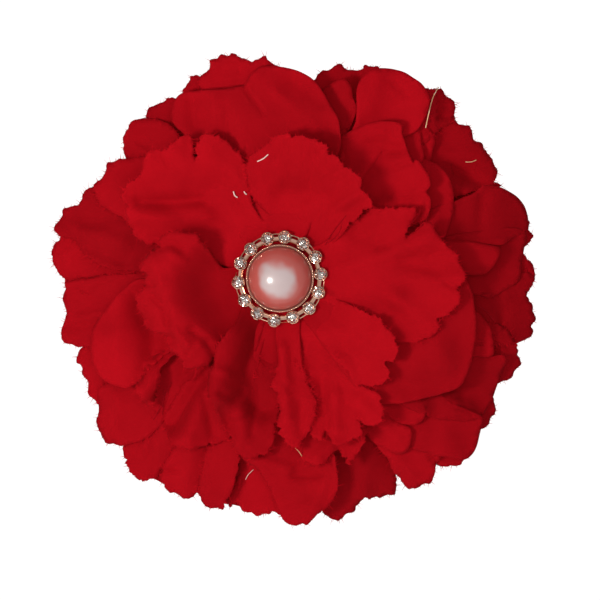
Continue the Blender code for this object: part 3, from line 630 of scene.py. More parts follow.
FOURTH_PETALS = {
    "right_band": dict(
        outline=[(9, -3), (30, -4), (43, -3.6), (46, -4.1), (49.5, -2.2), (52.3, -0.3), (52.8, 3),
            (53.4, 6.5), (53.7, 10.2), (49, 11), (30, 8), (9, 2)],
        heights=(7, 2, 4), arch=4.0, edge="smooth", tone=0.84,
    ),
    "dark_upper_right": dict(
        outline=[(8, 4.5), (28, 20), (32.4, 25.2), (33.3, 28), (33.6, 30.3), (32.6, 32.2), (31, 33),
            (27, 30), (6, 7)],
        heights=(7, 8, 8.5), arch=1.5, edge="smooth", tone=1.04,
    ),
    "behind_round": dict(
        outline=[(6.5, 6), (28, 30), (32, 33.2), (33, 35), (33.2, 38), (32.6, 41), (30.5, 41), (26, 36),
            (5, 7.5)],
        heights=(7, 8, 8), arch=2.0, edge="smooth", tone=0.97,
    ),
    "upper_right_outer": dict(
        outline=[(7, 5.5), (30, 28), (37.9, 34.7), (38.3, 36.5), (38.3, 38.2), (37.7, 39.3), (36.2, 40),
            (35.2, 41.5), (33, 41.3), (31.4, 41), (24, 36), (4.5, 8)],
        heights=(4, 3, 5), arch=4.0, edge="cut", tone=0.96,
    ),
    "top_left": dict(
        outline=[(-1, 9), (-12, 36), (-17, 43.7), (-19.2, 44.2), (-19.8, 43.2), (-20.5, 41.9),
            (-21.3, 40), (-22, 34), (-5, 7.5)],
        heights=(7.5, 7, 7), arch=3.0, edge="cut", tone=1.02,
    ),
    "upper_left": dict(
        outline=[(-4, 8), (-20, 28), (-24, 33.5), (-29.3, 34.9), (-31.5, 34.7), (-32.9, 33.4),
            (-33.4, 32), (-34.2, 30.2), (-34, 28.6), (-34, 26.8), (-30, 20), (-8, 4)],
        heights=(8, 6.5, 7), arch=2.6, edge="cut", tone=0.98,
        folds=[([(-30.8, 29.7), (-27.4, 28.2)], -0.9, 0.45)],
    ),
    "left": dict(
        outline=[(-6, 6.7), (-30, 17), (-40.4, 20), (-42.2, 19.3), (-42.9, 18.2), (-43.3, 16.6),
            (-44.1, 16), (-45.6, 15.8), (-47.3, 15), (-47.4, 13.8), (-48.1, 12.5), (-49.3, 11),
            (-48.5, 9.7), (-44.5, 8), (-42.8, 5.5), (-36, 2), (-9, 0.8)],
        heights=(7, 6.5, 8), arch=2.0, edge="cut", tone=0.82,
        folds=[([(-42, 12), (-33, 14)], -0.8, 1.6), ([(-44, 11), (-34, 8)], 0.6, 1.6),
            ([(-42, 6.5), (-34, 3.5)], -0.8, 1.6)],
    ),
    "left_low": dict(
        outline=[(-9, 1), (-34, 1), (-46.7, -0.6), (-46.7, -2), (-47.2, -3.3), (-47.3, -4.8), (-46.6, -7),
            (-46.8, -8.6), (-47.3, -10), (-47.7, -12), (-47.1, -13.8), (-45.4, -14.4), (-43.8, -15),
            (-36, -14), (-8.5, -3.5)],
        heights=(6.5, 5.5, 6.5), arch=2.6, edge="cut", tone=0.93,
        folds=[([(-47, -1.3), (-39.5, -0.4)], 0.9, 0.8), ([(-44, -8.7), (-38, -7.6)], 0.9, 0.8),
            ([(-43, -4.8), (-38, -4.4)], -0.6, 1.8), ([(-37.3, -3.4), (-36.6, -5)], -0.7, 0.4),
            ([(-45, -10.2), (-40, -9.8)], -0.6, 1.0)],
    ),
    "lower_left": dict(
        outline=[(-8, -4), (-30, -19), (-39.5, -24), (-39.4, -27.7), (-39.6, -29.5), (-40.1, -31),
            (-39.6, -32.4), (-38.8, -34.4), (-38, -35.8), (-36, -36), (-34.4, -36.4), (-28, -34),
            (-20, -24), (-6, -6.8)],
        heights=(7, 5.5, 5), arch=2.8, edge="cut", tone=0.94,
        folds=[([(-36, -25), (-36.5, -33)], 0.8, 2.0)],
    ),
    "lower_left_tip": dict(
        outline=[(-5.5, -7), (-20, -32), (-25, -40), (-26.2, -42.6), (-25.7, -44), (-25, -45.3),
            (-24, -46.7), (-22.5, -46.8), (-21.3, -47.8), (-20, -48), (-18, -46.5), (-16.5, -43),
            (-14, -34), (-2.5, -8.7)],
        heights=(5.5, 5.5, 6.5), arch=2.8, edge="cut", tone=0.98,
        folds=[([(-26, -41.9), (-21.6, -41)], -1.2, 0.3), ([(-19, -38), (-20.5, -46)], 0.5, 1.6)],
    ),
    "bottom": dict(
        outline=[(-3.5, -8.3), (-8, -36), (-9.6, -45), (-11.2, -47.5), (-11, -50), (-9.7, -48.8),
            (-8.7, -49.7), (-8, -50.7), (-6.5, -51), (-5, -51.8), (-3.7, -51.2), (-2.3, -51.2),
            (-1.4, -50.5), (0.5, -51.5), (3, -46), (2, -36), (1.5, -9)],
        heights=(5, 6, 7), arch=2.8, edge="cut", tone=1.02,
    ),
    "bottom_right_low": dict(
        outline=[(3, -8.5), (18, -33), (22.5, -38), (24.8, -42), (27, -44.8), (28.2, -45.8),
            (29.7, -45.8), (31.2, -44.9), (32.8, -44.7), (33.6, -43), (34.1, -40.8), (34.5, -38),
            (28, -28), (6.5, -7)],
        heights=(6.5, 5, 6), arch=3.0, edge="cut", tone=0.98,
        folds=[([(32.9, -38.7), (34, -40.1)], -1.6, 0.5), ([(24.5, -39), (30, -43)], 0.7, 1.6),
            ([(30.3, -43.3), (31, -42.3)], -0.4, 0.4)],
    ),
    "lower_right_broad": dict(
        outline=[(5, -8), (24, -32), (28.6, -36.8), (31, -37.7), (35.5, -38.7), (39.8, -39.5),
            (42, -38.3), (43.2, -35.8), (43.9, -32.5), (44.2, -30.2), (36, -26), (8.5, -4)],
        heights=(7, 4.5, 5), arch=3.6, edge="smooth", tone=0.92,
        folds=[([(36, -33), (38, -38)], 0.6, 2.4)],
    ),
}
FIFTH_PETALS = {
    "right": dict(
        outline=[(8.8, -3), (40, -14), (49, -14.5), (52, -14), (53.6, -13.4), (55.2, -12.6),
            (55.6, -11.4), (55.2, -10.3), (56.2, -9), (55.5, -7), (55.4, -6), (54.9, -5), (54.2, -3.6),
            (55.2, -1.6), (55.8, 0), (54, 1.5), (40, 4), (9, 1.5)],
        heights=(3, -1, 1), arch=5.0, edge="cut", tone=0.77,
        folds=[([(48.4, -5), (48.2, -13)], -0.8, 1.2)],
    ),
    "upper_right": dict(
        outline=[(8.6, 3), (34, 16), (44, 19.5), (48.5, 20.2), (47.7, 21), (46.7, 21.2), (47.4, 22.5),
            (47.6, 23.8), (47, 24.7), (46.7, 26), (45.9, 27), (44.8, 28.3), (44.1, 29.8), (42.4, 30.3),
            (42.1, 31.5), (42, 32.5), (40.8, 33.5), (39, 33.8), (37.9, 34.7), (30, 30), (6.5, 6.5)],
        heights=(3, 2, 4), arch=4.6, edge="cut", tone=0.92,
        folds=[([(37, 24.5), (44, 21)], -1.2, 1.2), ([(36, 27), (44, 27)], 0.7, 1.8),
            ([(37, 20.5), (43, 18)], 0.9, 1.2)],
    ),
    "top_right": dict(
        outline=[(4.5, 8), (20, 40), (21.6, 45.7), (20.9, 46.4), (19.9, 46.2), (18.6, 46.7), (17.6, 45.7),
            (15.4, 45.5), (14.2, 45.8), (13.2, 46.8), (12, 46.5), (10.6, 45.5), (9.2, 45.2), (8, 44),
            (5, 40), (0, 9)],
        heights=(6, 4.5, 5), arch=3.4, edge="cut", tone=0.97,
        folds=[([(16.6, 40), (17.4, 44.6)], -0.8, 0.8)],
    ),
    "upper_left": dict(
        outline=[(-2.5, 8.6), (-16, 34), (-22.6, 39.2), (-24.4, 39.5), (-25.2, 38.7), (-26.6, 38),
            (-28.5, 37.3), (-29, 36.2), (-29.3, 34.8), (-28, 28), (-6.5, 6.2)],
        heights=(5, 4.5, 5.5), arch=3.0, edge="cut", tone=0.95,
    ),
    "left": dict(
        outline=[(-8, 4), (-36, 9), (-47.6, 10.6), (-48.4, 9.7), (-48, 8.8), (-49.4, 7.3), (-49.9, 5.8),
            (-49.5, 4.4), (-49.2, 2.7), (-48, 0.8), (-46.8, -0.4), (-46.6, -1.6), (-36, -4), (-9, -2)],
        heights=(6, 5, 4.5), arch=2.6, edge="frayed", tone=0.96,
        folds=[([(-47, 5), (-43.6, 7)], 0.6, 1.2)],
    ),
    "left_lower": dict(
        outline=[(-9, -1), (-36, -10), (-43.6, -15.2), (-44, -16.6), (-44.5, -18.1), (-43.4, -19.4),
            (-43, -21), (-42, -22.4), (-41.9, -25), (-40.6, -26.4), (-39.5, -27.6), (-32, -24),
            (-7.5, -5)],
        heights=(4.5, 4, 4.5), arch=2.8, edge="cut", tone=0.98,
    ),
    "lower_left": dict(
        outline=[(-7, -5.5), (-28, -30), (-34.3, -36.6), (-34, -38), (-33.9, -40), (-33, -41.7),
            (-31.6, -43.2), (-30.3, -44.4), (-29, -44), (-27.6, -43.6), (-26.5, -42.9), (-20, -34),
            (-4, -8)],
        heights=(4, 4, 4.5), arch=3.0, edge="frayed", tone=0.9,
        folds=[([(-28.6, -35), (-30, -38.5)], 0.7, 0.8)],
    ),
    "bottom_right": dict(
        outline=[(1, -9), (8, -36), (9.3, -50.8), (10.6, -52.1), (12.6, -53), (13.6, -52.4),
            (14.5, -51.4), (16.1, -51), (16.9, -49.4), (18.4, -47.8), (19.4, -48.3), (20.6, -47.8),
            (22.1, -48), (23.5, -47.2), (25, -47.4), (25.4, -46), (25.4, -43), (22, -34), (6, -7)],
        heights=(4, 2.0, 1), arch=3.4, edge="cut", tone=0.77,
        folds=[([(19, -40), (18, -46)], 0.7, 2.0)],
    ),
    "lower_right_low": dict(
        outline=[(4.5, -8), (30, -38), (34.4, -40.9), (37, -40.8), (38.9, -41), (40.3, -39.4), (42, -35),
            (34, -22), (8, -5)],
        heights=(4, 3.5, 4), arch=3.0, edge="cut", tone=1.0,
    ),
    "lower_right": dict(
        outline=[(7, -6), (36, -30), (43.8, -33), (45.7, -32), (46.2, -30.5), (47.4, -29.3), (46.9, -27),
            (46.7, -25), (47.6, -23.2), (50.7, -21.7), (51.7, -20.1), (53, -18.5), (52.2, -16.8),
            (51.8, -14.4), (48, -10), (9, -2)],
        heights=(2, -0.5, 1), arch=4.8, edge="cut", tone=0.82,
    ),
}
BOTTOM_EDGE_PETAL = dict(
    outline=[(-6, -7), (-24, -36), (-28.5, -42.5), (-26.4, -44.4), (-22, -46.4), (-17.6, -46.6),
        (-13.5, -48.8), (-10.5, -49.4), (-7, -49.8), (-4, -48), (-2, -40), (0, -9)],
    heights=(3, 3, 3.5), arch=3.0, edge="smooth", tone=0.96,
)
RIGHT_EDGE_PETAL = dict(
    outline=[(9, -1), (40, -4), (55, -1.5), (55.8, 0), (55.5, 3.2), (54, 4.5), (53.2, 6), (54.8, 8.2),
        (55.6, 9.4), (54.6, 10.9), (54.5, 13), (50, 16), (36, 14), (8.5, 3.5)],
    heights=(1.5, 0.5, 2), arch=3.6, edge="cut", tone=0.88,
)


def full_ring(count, reach, first_angle, heights, arch, tone):
    """Equal petals round the flower's middle, for the layers that only show from the side and the back."""
    width = 360 / count
    petals = {}
    for number in range(count):
        middle = first_angle + number * width
        corners = [(9, -0.4), (0.7 * reach, -0.56), (0.93 * reach, -0.36), (reach, -0.14)]
        corners += [(0.985 * reach, 0.0)] + [(radius, -share) for radius, share in corners[::-1]]
        outline = []
        for radius, share in corners:
            place = polar(radius, middle + share * width) + FLOWER_MIDDLE * smooth_step(radius / reach)
            outline.append(tuple(place))
        petal = dict(outline=outline, heights=heights, arch=arch, edge="pinked", tone=tone)
        petals[f"petal_{number + 1}"] = petal
    return petals


SIXTH_PETALS = {
    "right_edge": RIGHT_EDGE_PETAL,
    "bottom_edge": BOTTOM_EDGE_PETAL,
    **full_ring(8, 46.5, 8, (3.5, 2.0, 3.5), 3.2, 0.96),
}
REAR_PETALS = full_ring(6, 46.0, 35, (2.5, 1.0, 2.5), 2.6, 0.95)


def rounded(points, step):
    """Points at even steps along a smooth curve through the given ones."""
    dense = []
    count = len(points)
    for index in range(count - 1):
        before = points[max(0, index - 1)]
        first, second = points[index], points[index + 1]
        after = points[min(count - 1, index + 2)]
        pieces = max(2, int((second - first).length / step * 2))
        slope_in, slope_out = (second - before) * 0.5, (after - first) * 0.5
        longest = 1.2 * (second - first).length
        for slope in (slope_in, slope_out):
            if slope.length > longest:
                slope *= longest / slope.length
        for piece in range(pieces):
            t = piece / pieces
            place = (2 * t**3 - 3 * t**2 + 1) * first + (t**3 - 2 * t**2 + t) * slope_in
            dense.append(place + (3 * t**2 - 2 * t**3) * second + (t**3 - t**2) * slope_out)
    dense.append(points[-1])
    even = [dense[0]]
    spare = 0.0
    for first, second in zip(dense, dense[1:]):
        length = (second - first).length
        while length > 1e-9 and spare + length >= step:
            first = first.lerp(second, (step - spare) / length)
            even.append(first)
            length = (second - first).length
            spare = 0.0
        spare += length
    return even


def pinking(distance, seed):
    """Zigzag shears: slightly uneven teeth."""
    wander = 0.9 * noise.noise((distance / 9.0, seed, 0.0))
    tooth = abs((distance / TOOTH_PITCH + wander) % 1.0 - 0.5) * 2 - 0.5
    return (0.9 + 0.6 * noise.noise((distance / 4.0, seed, 3.0))) * tooth + cutting(distance, seed)


def fraying(distance, seed):
    """A torn, threadbare edge: fine tufts with a deeper nick here and there."""
    tufts = noise.noise((distance / 0.7, seed, 7.0)) * 0.6 + noise.noise((distance / 2.6, seed, 9.0)) * 0.6
    nick = max(0.0, noise.noise((distance / 1.9, seed, 11.0)) - 0.33) * 2.4
    return tufts - nick


def cutting(distance, seed):
    """A cut edge that has begun to fray."""
    return noise.noise((distance / 0.8, seed, 7.0)) * 0.28 + noise.noise((distance / 2.4, seed, 9.0)) * 0.35


def sealing(distance, seed):
    """A clean edge with the slightest waver."""
    return 0.18 * noise.noise((distance / 3.0, seed, 5.0))


EDGES = {"pinked": pinking, "frayed": fraying, "cut": cutting, "smooth": sealing}


def petal_edge(outline, edge, seed):
    """The petal's cut edge in plan, with its teeth or tufts."""
    line = rounded([Vector(corner) for corner in outline], EDGE_STEP)
    cut = EDGES[edge]
    worked = []
    for index, place in enumerate(line):
        ahead = line[min(index + 1, len(line) - 1)] - line[max(index - 1, 0)]
        outwards = Vector((ahead.y, -ahead.x)).normalized()
        fade = smooth_step((place.length - BARE_EDGE_RADIUS) / 6)
        worked.append(place + outwards * cut(index * EDGE_STEP, seed) * fade)
    return worked


def inside(place, corners):
    """Whether a point lies within a closed outline."""
    x, y = place
    within = False
    x1, y1 = corners[-1]
    for x2, y2 in corners:
        if (y1 > y) != (y2 > y) and x < (x2 - x1) * (y - y1) / (y2 - y1) + x1:
            within = not within
        x1, y1 = x2, y2
    return within


def segment_distance(place, start, end):
    """How far a point is from a straight line between two others."""
    along = end - start
    share = max(0.0, min(1.0, (place - start).dot(along) / along.length_squared))
    return (place - start - share * along).length


def turn_between(first, second):
    """The angle from one plan direction to another, anticlockwise, in degrees."""
    return math.degrees(math.atan2(first.x * second.y - first.y * second.x, first.dot(second)))


def tree_of(corners):
    """A search tree for the corner nearest to a place."""
    tree = KDTree(len(corners))
    for index, corner in enumerate(corners):
        tree.insert((corner.x, corner.y, 0.0), index)
    tree.balance()
    return tree


class Petal:
    """One petal: its cut edge in plan and its height at any place."""

    def __init__(self, settings, hub, order, seed):
        corners = [Vector(corner) for corner in settings["outline"]]
        self.seed = seed
        self.tone = settings["tone"]
        self.frayed = settings["edge"] == "frayed"
        self.edge = petal_edge(settings["outline"], settings["edge"], seed)
        self.start = math.degrees(math.atan2(corners[0].y, corners[0].x))
        turns = [turn_between(first, second) for first, second in zip(corners, corners[1:])]
        self.span = sum(turns)
        self.reach = max(corner.length for corner in corners)
        self.hub = hub + OVERLAP_STEP * order
        self.first, self.tip, self.last = settings["heights"]
        self.arch = settings["arch"]
        self.folds = [
            ([Vector(point) for point in line], rise, width)
            for line, rise, width in settings.get("folds", ())
        ]
        self.edge_tree = tree_of(self.edge)

    def base(self):
        """The petal's root, back round the hub from its last side to its first."""
        return [polar(HUB_RADIUS, self.start + self.span * step / 8) for step in range(8, -1, -1)]

    def height(self, place):
        """The dish round the button and the arch out to the rim, then waves, the edge's curl and folds."""
        radius = place.length
        middle = polar(1.0, self.start + self.span / 2)
        side = turn_between(middle, place) / (self.span / 2)
        side = max(-1.2, min(1.2, side))
        out = max(0.0, radius - HUB_RADIUS) / (self.reach - HUB_RADIUS)
        tilt, cup = (self.last - self.first) / 2, (self.first + self.last) / 2 - self.tip
        rim = self.tip + tilt * side + cup * side * side
        dish = self.hub + DISH_RISE
        rim = dish + (rim - dish) * smooth_step((radius - DISH_RADIUS) / DISH_RADIUS)
        rise = smooth_step((radius - 7.5) / 6) * 0.08 + 0.92 * out**1.35
        level = self.hub + (rim - self.hub) * rise + self.arch * math.sin(math.pi * min(1.0, out) ** 1.15)
        swing = smooth_step((radius - DISH_RADIUS) / 15)
        waves = noise.noise((side * self.span / 20.0, radius / 24.0, self.seed))
        waves += noise.noise((place.x / 10.0, place.y / 10.0, self.seed + 80)) * 1.2
        waves += noise.noise((place.x / 4.5, place.y / 4.5, self.seed + 120)) * 0.22
        level += swing * waves
        _, index, distance = self.edge_tree.find((place.x, place.y, 0.0))
        lip = math.exp(-distance / 1.5) * swing * (0.6 if self.frayed else 0.35)
        level += lip * noise.noise((index * EDGE_STEP / 3.0, self.seed, 2.0))
        for line, rise, width in self.folds:
            distance = min(segment_distance(place, start, end) for start, end in zip(line, line[1:]))
            level += rise * math.exp(-((distance / width) ** 2))
        return level


class Stack:
    """How high the cloth laid so far reaches, on an even grid."""

    def __init__(self):
        self.levels = {}

    def cell(self, place):
        return round(place.x / STACK_CELL), round(place.y / STACK_CELL)

    def add(self, place, level):
        key = self.cell(place)
        self.levels[key] = max(level, self.levels.get(key, level))

    def top(self, place):
        """The mean height of the cloth round a place, or None over nothing."""
        column, row = self.cell(place)
        cells = [(column + x, row + y) for x in (-1, 0, 1) for y in (-1, 0, 1)]
        found = [self.levels[key] for key in cells if key in self.levels]
        return sum(found) / len(found) if len(found) > 4 else None

    def rest(self, place, level):
        """A height lifted so that the cloth lies on what is under it, and free near the sewn hub."""
        top = self.top(place)
        if top is None:
            return level
        over = (level - top - STACK_GAP) / STACK_SOFTNESS
        lifted = top + STACK_GAP + STACK_SOFTNESS * (over if over > 20 else math.log1p(math.exp(over)))
        return level + (lifted - level) * smooth_step((place.length - 12) / 8)


def add_petal(shape, layers, petal, grid, stack):
    """Adds one petal to a layer: its cut edge filled with an even grid, raised by its heights."""
    dye_and_painted_light_layer, grain_layer = layers
    corners = petal.edge + petal.base()
    edge_tree = tree_of(corners)
    low = Vector((min(c.x for c in corners), min(c.y for c in corners)))
    high = Vector((max(c.x for c in corners), max(c.y for c in corners)))
    points = list(corners)
    row_height = grid * 0.866
    for row in range(int((high.y - low.y) / row_height) + 1):
        shift = grid / 2 * (row % 2)
        for column in range(int((high.x - low.x) / grid) + 1):
            place = Vector((low.x + shift + column * grid, low.y + row * row_height))
            distance = edge_tree.find((place.x, place.y, 0.0))[2]
            if distance > 0.55 * grid and inside(place, corners):
                points.append(place)
    outline_edges = [(index, (index + 1) % len(corners)) for index in range(len(corners))]
    whole = [list(range(len(corners)))]
    flat, _, triangles, _, _, _ = delaunay_2d_cdt(points, outline_edges, whole, 1, 1e-6)
    turn = Matrix.Rotation(noise.noise((petal.seed * 1.7, 3.0, 5.0)) * math.pi, 2)
    petal.resting = [stack.rest(place, petal.height(place)) for place in flat]
    for place, level in zip(flat, petal.resting):
        stack.add(place, level)
    heights = zip(flat, petal.resting)
    verts = [shape.verts.new(flower_point(place.x, place.y, level)) for place, level in heights]
    for triangle in triangles:
        if len(set(triangle)) < 3:
            continue
        face = shape.faces.new([verts[corner] for corner in triangle])
        face.smooth = True
        for loop, corner in zip(face.loops, triangle):
            loop[grain_layer].uv = turn @ flat[corner]
    # Painted light and shade: each corner takes the petal's brightness factor, which is partly its dye.
    for vert in verts:
        vert[dye_and_painted_light_layer] = petal.tone


def add_fibres(shape, dye_and_painted_light_layer, petal, chance):
    """Loose threads along a petal's frayed edge: thin closed slivers that lean out of it."""
    edge = petal.edge
    for index in range(2, len(edge) - 2):
        place = edge[index]
        if place.length < FIBRE_FREE_RADIUS or chance.random() > FIBRE_SHARE:
            continue
        ahead = (edge[index + 1] - edge[index - 1]).normalized()
        outwards = Vector((ahead.y, -ahead.x))
        lean = (outwards + ahead * chance.uniform(-0.9, 0.9)).normalized()
        length = chance.choice(FIBRE_LENGTHS) * chance.uniform(0.7, 1.2)
        root = place - outwards * 0.25
        tip = place + lean * length
        level = petal.resting[index]
        width = ahead * chance.uniform(0.045, 0.08)
        corners = [root - width, root + width, tip]
        levels = (level, level, level + chance.uniform(-0.3, 0.5))
        front = [flower_point(c.x, c.y, h + FIBRE_HALF_THICKNESS) for c, h in zip(corners, levels)]
        back = [flower_point(c.x, c.y, h - FIBRE_HALF_THICKNESS) for c, h in zip(corners, levels)]
        verts = [shape.verts.new(point) for point in front + back]
        for face in ((0, 1, 2), (5, 4, 3), (0, 3, 4, 1), (1, 4, 5, 2), (2, 5, 3, 0)):
            shape.faces.new([verts[corner] for corner in face])
        # Painted highlight: every corner of the thread is painted brighter than the cloth.
        for vert in verts:
            vert[dye_and_painted_light_layer] = FIBRE_PAINTED_HIGHLIGHT


def add_layer(number, petals, grid, stack):
    """One die-cut cloth layer, as a thin solid that stands for its CAD layer, and its frayed threads."""
    shape = bmesh.new()
    layers = (shape.verts.layers.float.new("tone"), shape.loops.layers.uv.new("cloth"))
    fringe = bmesh.new()
    fringe_painted_highlight = fringe.verts.layers.float.new("tone")
    fringe.loops.layers.uv.new("cloth")
    chance = random.Random(number)
    hub = hub_height(number)
    for order, settings in enumerate(petals.values()):
        petal = Petal(settings, hub, order % 3, 17.0 * number + order)
        add_petal(shape, layers, petal, grid, stack)
        if settings["edge"] in ("frayed", "cut"):
            add_fibres(fringe, fringe_painted_highlight, petal, chance)
    bmesh.ops.recalc_face_normals(shape, faces=shape.faces)
    outline_area = sum(face.calc_area() * abs(face.normal.y) for face in shape.faces)
    layer = finished(f"petals_{number}", shape, RED_CLOTH, 180.0)
    solid = layer.modifiers.new("cloth", "SOLIDIFY")
    solid.thickness = CLOTH_THICKNESS * MM
    solid.offset = 0.0
    stands_for(layer, "red_fabric", f"petal_layer_{number}")
    if len(fringe.verts):
        bmesh.ops.recalc_face_normals(fringe, faces=fringe.faces)
        threads = finished(f"frayed_threads_{number}", fringe, RED_CLOTH)
        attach(threads, "flower")


LAYER_PETALS = (
    FRONT_PETALS,
    SECOND_PETALS,
    THIRD_PETALS,
    FOURTH_PETALS,
    FIFTH_PETALS,
    SIXTH_PETALS,
    REAR_PETALS,
)
cloth_stack = Stack()
for layer_number in range(len(LAYER_PETALS), 0, -1):
    cloth_grid = FINE_GRID if layer_number <= FINE_LAYERS else COARSE_GRID
    add_layer(layer_number, LAYER_PETALS[layer_number - 1], cloth_grid, cloth_stack)

# ---------------------------------------------------------------- button and clip

PALE_GOLD = metal_material("pale_gold_plate", (0.85, 0.5, 0.37), 0.16)
NICKEL = metal_material("nickel_plate", (0.62, 0.61, 0.6), 0.24)
PEARL = pearl_material()
CRYSTAL = crystal_material()
FELT = cloth_material("dark_felt", (0.12, 0.003, 0.006))
GLUE = glue_material()
GOLD_THREAD, _, _ = material_with("gold_thread", (0.75, 0.42, 0.22), 0.4)
WHITE_THREAD, _, _ = material_with("pale_thread", (0.72, 0.5, 0.46), 0.5)
THREAD = cloth_material("red_thread", (0.25, 0.002, 0.006))

# Thread ends caught on the petals: material, radius, and points as (x, y, height above the cloth).
LOOSE_THREADS = (
    (GOLD_THREAD, 0.11, ((31.6, 32.7, 0.3), (32.3, 36, 0.8), (33.3, 39.5, 0.8), (34.6, 41.8, 0.5))),
    (WHITE_THREAD, 0.12, ((-4.8, 25, 0.1), (-3.5, 25.6, 0.4), (-2.2, 26.7, 0.2))),
    (WHITE_THREAD, 0.14, ((-10, 18.7, 0.2), (-9.7, 17.8, 0.4), (-9, 17.4, 0.2))),
    (WHITE_THREAD, 0.14, ((-7.7, 18.7, 0.2), (-7.4, 18.2, 0.4), (-6.9, 18, 0.2))),
    (THREAD, 0.1, ((-27.5, -30.7, 0.2), (-26, -27.8, 0.8), (-25, -24, 0.3))),
    (THREAD, 0.09, ((-23.5, -22.5, 0.3), (-25.2, -26, 0.9), (-25.6, -30, 0.3))),
    (GOLD_THREAD, 0.08, ((3.4, -36.5, 0.2), (4.2, -37.4, 0.4), (5, -38.8, 0.1))),
    (WHITE_THREAD, 0.06, ((-7.5, -43.7, 0.2), (-6.9, -42.6, 0.5), (-5.8, -41.5, 0.2))),
    (GOLD_THREAD, 0.08, ((40.5, 25.5, 0.2), (41.8, 25.5, 0.6), (43, 26, 0.2))),
    (THREAD, 0.1, ((43, -5.8, 0.3), (45, -7.2, 0.9), (47, -9.6, 0.6))),
    (THREAD, 0.09, ((43.5, -3.6, 0.2), (45.5, -3.2, 0.7), (47, -4.4, 0.3))),
    (THREAD, 0.09, ((9.8, 7.2, 0.2), (11.6, 10.2, 0.5), (14.4, 13.6, 0.3))),
    (THREAD, 0.08, ((10.4, 7.6, 0.2), (12.6, 9.6, 0.6), (13.6, 12.4, 0.2))),
    (THREAD, 0.08, ((29, 10, 0.2), (31.5, 12.4, 0.5), (32.2, 14.5, 0.3))),
    (THREAD, 0.08, ((27.4, 11.2, 0.2), (29.6, 13.2, 0.6), (30.2, 15.4, 0.3))),
)

NODE_MATERIALS = {
    "bezel_cup": PALE_GOLD,
    "button_shank": PALE_GOLD,
    "cup_ring": PALE_GOLD,
    "claw_cup": PALE_GOLD,
    "crystal": CRYSTAL,
    "pearl_cabochon": PEARL,
    "clip_": NICKEL,
    "hinge_pin": NICKEL,
    "torsion_spring": NICKEL,
    "felt_backing": FELT,
    "glue_pad": GLUE,
    "sewing_thread": THREAD,
}
for name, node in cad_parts.items():
    for beginning, material in NODE_MATERIALS.items():
        if name.startswith(beginning):
            node.data.materials.clear()
            node.data.materials.append(material)


def heights_of(node):
    """A CAD node's back and front along the flower's axis."""
    low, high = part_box(node)
    return -high.y / MM, -low.y / MM


def radius_of(node):
    low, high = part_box(node)
    return (high.x - low.x) / 2 / MM


def add_pearl():
    """The half pearl: a fine dome with a rounded foot."""
    back, front = heights_of("pearl_cabochon")
    radius = radius_of("pearl_cabochon")
    dome = []
    for step in range(33):
        angle = math.radians(90.0 * step / 32)
        rise = (front - back - PEARL_FOOT) * math.cos(angle)
        dome.append((radius * math.sin(angle), back + PEARL_FOOT + rise))
    dome += [(radius - 0.1, back + 0.08), (radius - 0.3, back), (0.0, back)]
    stands_for(turned("pearl", dome, 96, PEARL), "pearl", "pearl_cabochon")


def add_bezel():
    """The pan with its thin wall, and a row of milled beads along the rim."""
    back, front = heights_of("bezel_cup")
    outer = radius_of("bezel_cup")
    inner = outer - PAN_WALL
    floor = back + PAN_FLOOR
    profile = [(0.0, floor), (inner, floor), (inner, front - 0.25), (inner + 0.06, front - 0.12)]
    profile += [(outer - 0.05, front - 0.12), (outer, front - 0.25), (outer, back + 0.1)]
    profile += [(outer - 0.1, back), (0.0, back)]
    wall = turned("bezel_wall", profile, 96, PALE_GOLD)
    stands_for(wall, "pale_gold", "bezel_cup")
    beads = bmesh.new()
    for bead in range(MILGRAIN_BEADS):
        place = polar(inner + 0.1, 360 * bead / MILGRAIN_BEADS)
        centre = Matrix.Translation(flower_point(place.x, place.y, front - 0.06))
        bmesh.ops.create_icosphere(beads, subdivisions=1, radius=BEAD_RADIUS * MM, matrix=centre)
    milgrain = finished("bezel_milgrain", beads, PALE_GOLD, 80.0)
    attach(milgrain, "flower")


def add_cup_ring():
    """Two thin wires that the cups stand on, with a short flat bar between each cup and the next."""
    back, front = heights_of("cup_ring")
    shape = bmesh.new()
    for radius, height in WIRES:
        line = [polar(radius, 360 * step / WIRE_STEPS) for step in range(WIRE_STEPS)]
        points = [flower_point(place.x, place.y, back + height) for place in line]
        add_tube(shape, points, [WIRE_RADIUS * MM] * len(points), closed=True)
    for link in range(CRYSTALS):
        angle = math.radians(FIRST_CRYSTAL + (link + 0.5) * 360 / CRYSTALS)
        centre = flower_point(LINK_RADIUS * math.cos(angle), LINK_RADIUS * math.sin(angle), front - 0.35)
        turn = Matrix.Rotation(-angle, 4, "Y")
        size = Matrix.Diagonal((*(side * MM for side in LINK_SIZE), 1.0))
        bar = bmesh.ops.create_cube(shape, size=1.0, matrix=Matrix.Translation(centre) @ turn @ size)
        edges = {edge for vert in bar["verts"] for edge in vert.link_edges}
        bmesh.ops.bevel(shape, geom=list(edges), offset=LINK_BEVEL * MM, segments=2, affect="EDGES")
    stands_for(finished("cup_wires", shape, PALE_GOLD), "pale_gold", "cup_ring")


def set_by_hand(number):
    """How far a cup and its crystal stand from their even place."""
    return Vector([noise.noise((number * 2.3, row, 1.5)) * HAND_SET * MM for row in (0.0, 3.0, 6.0)])


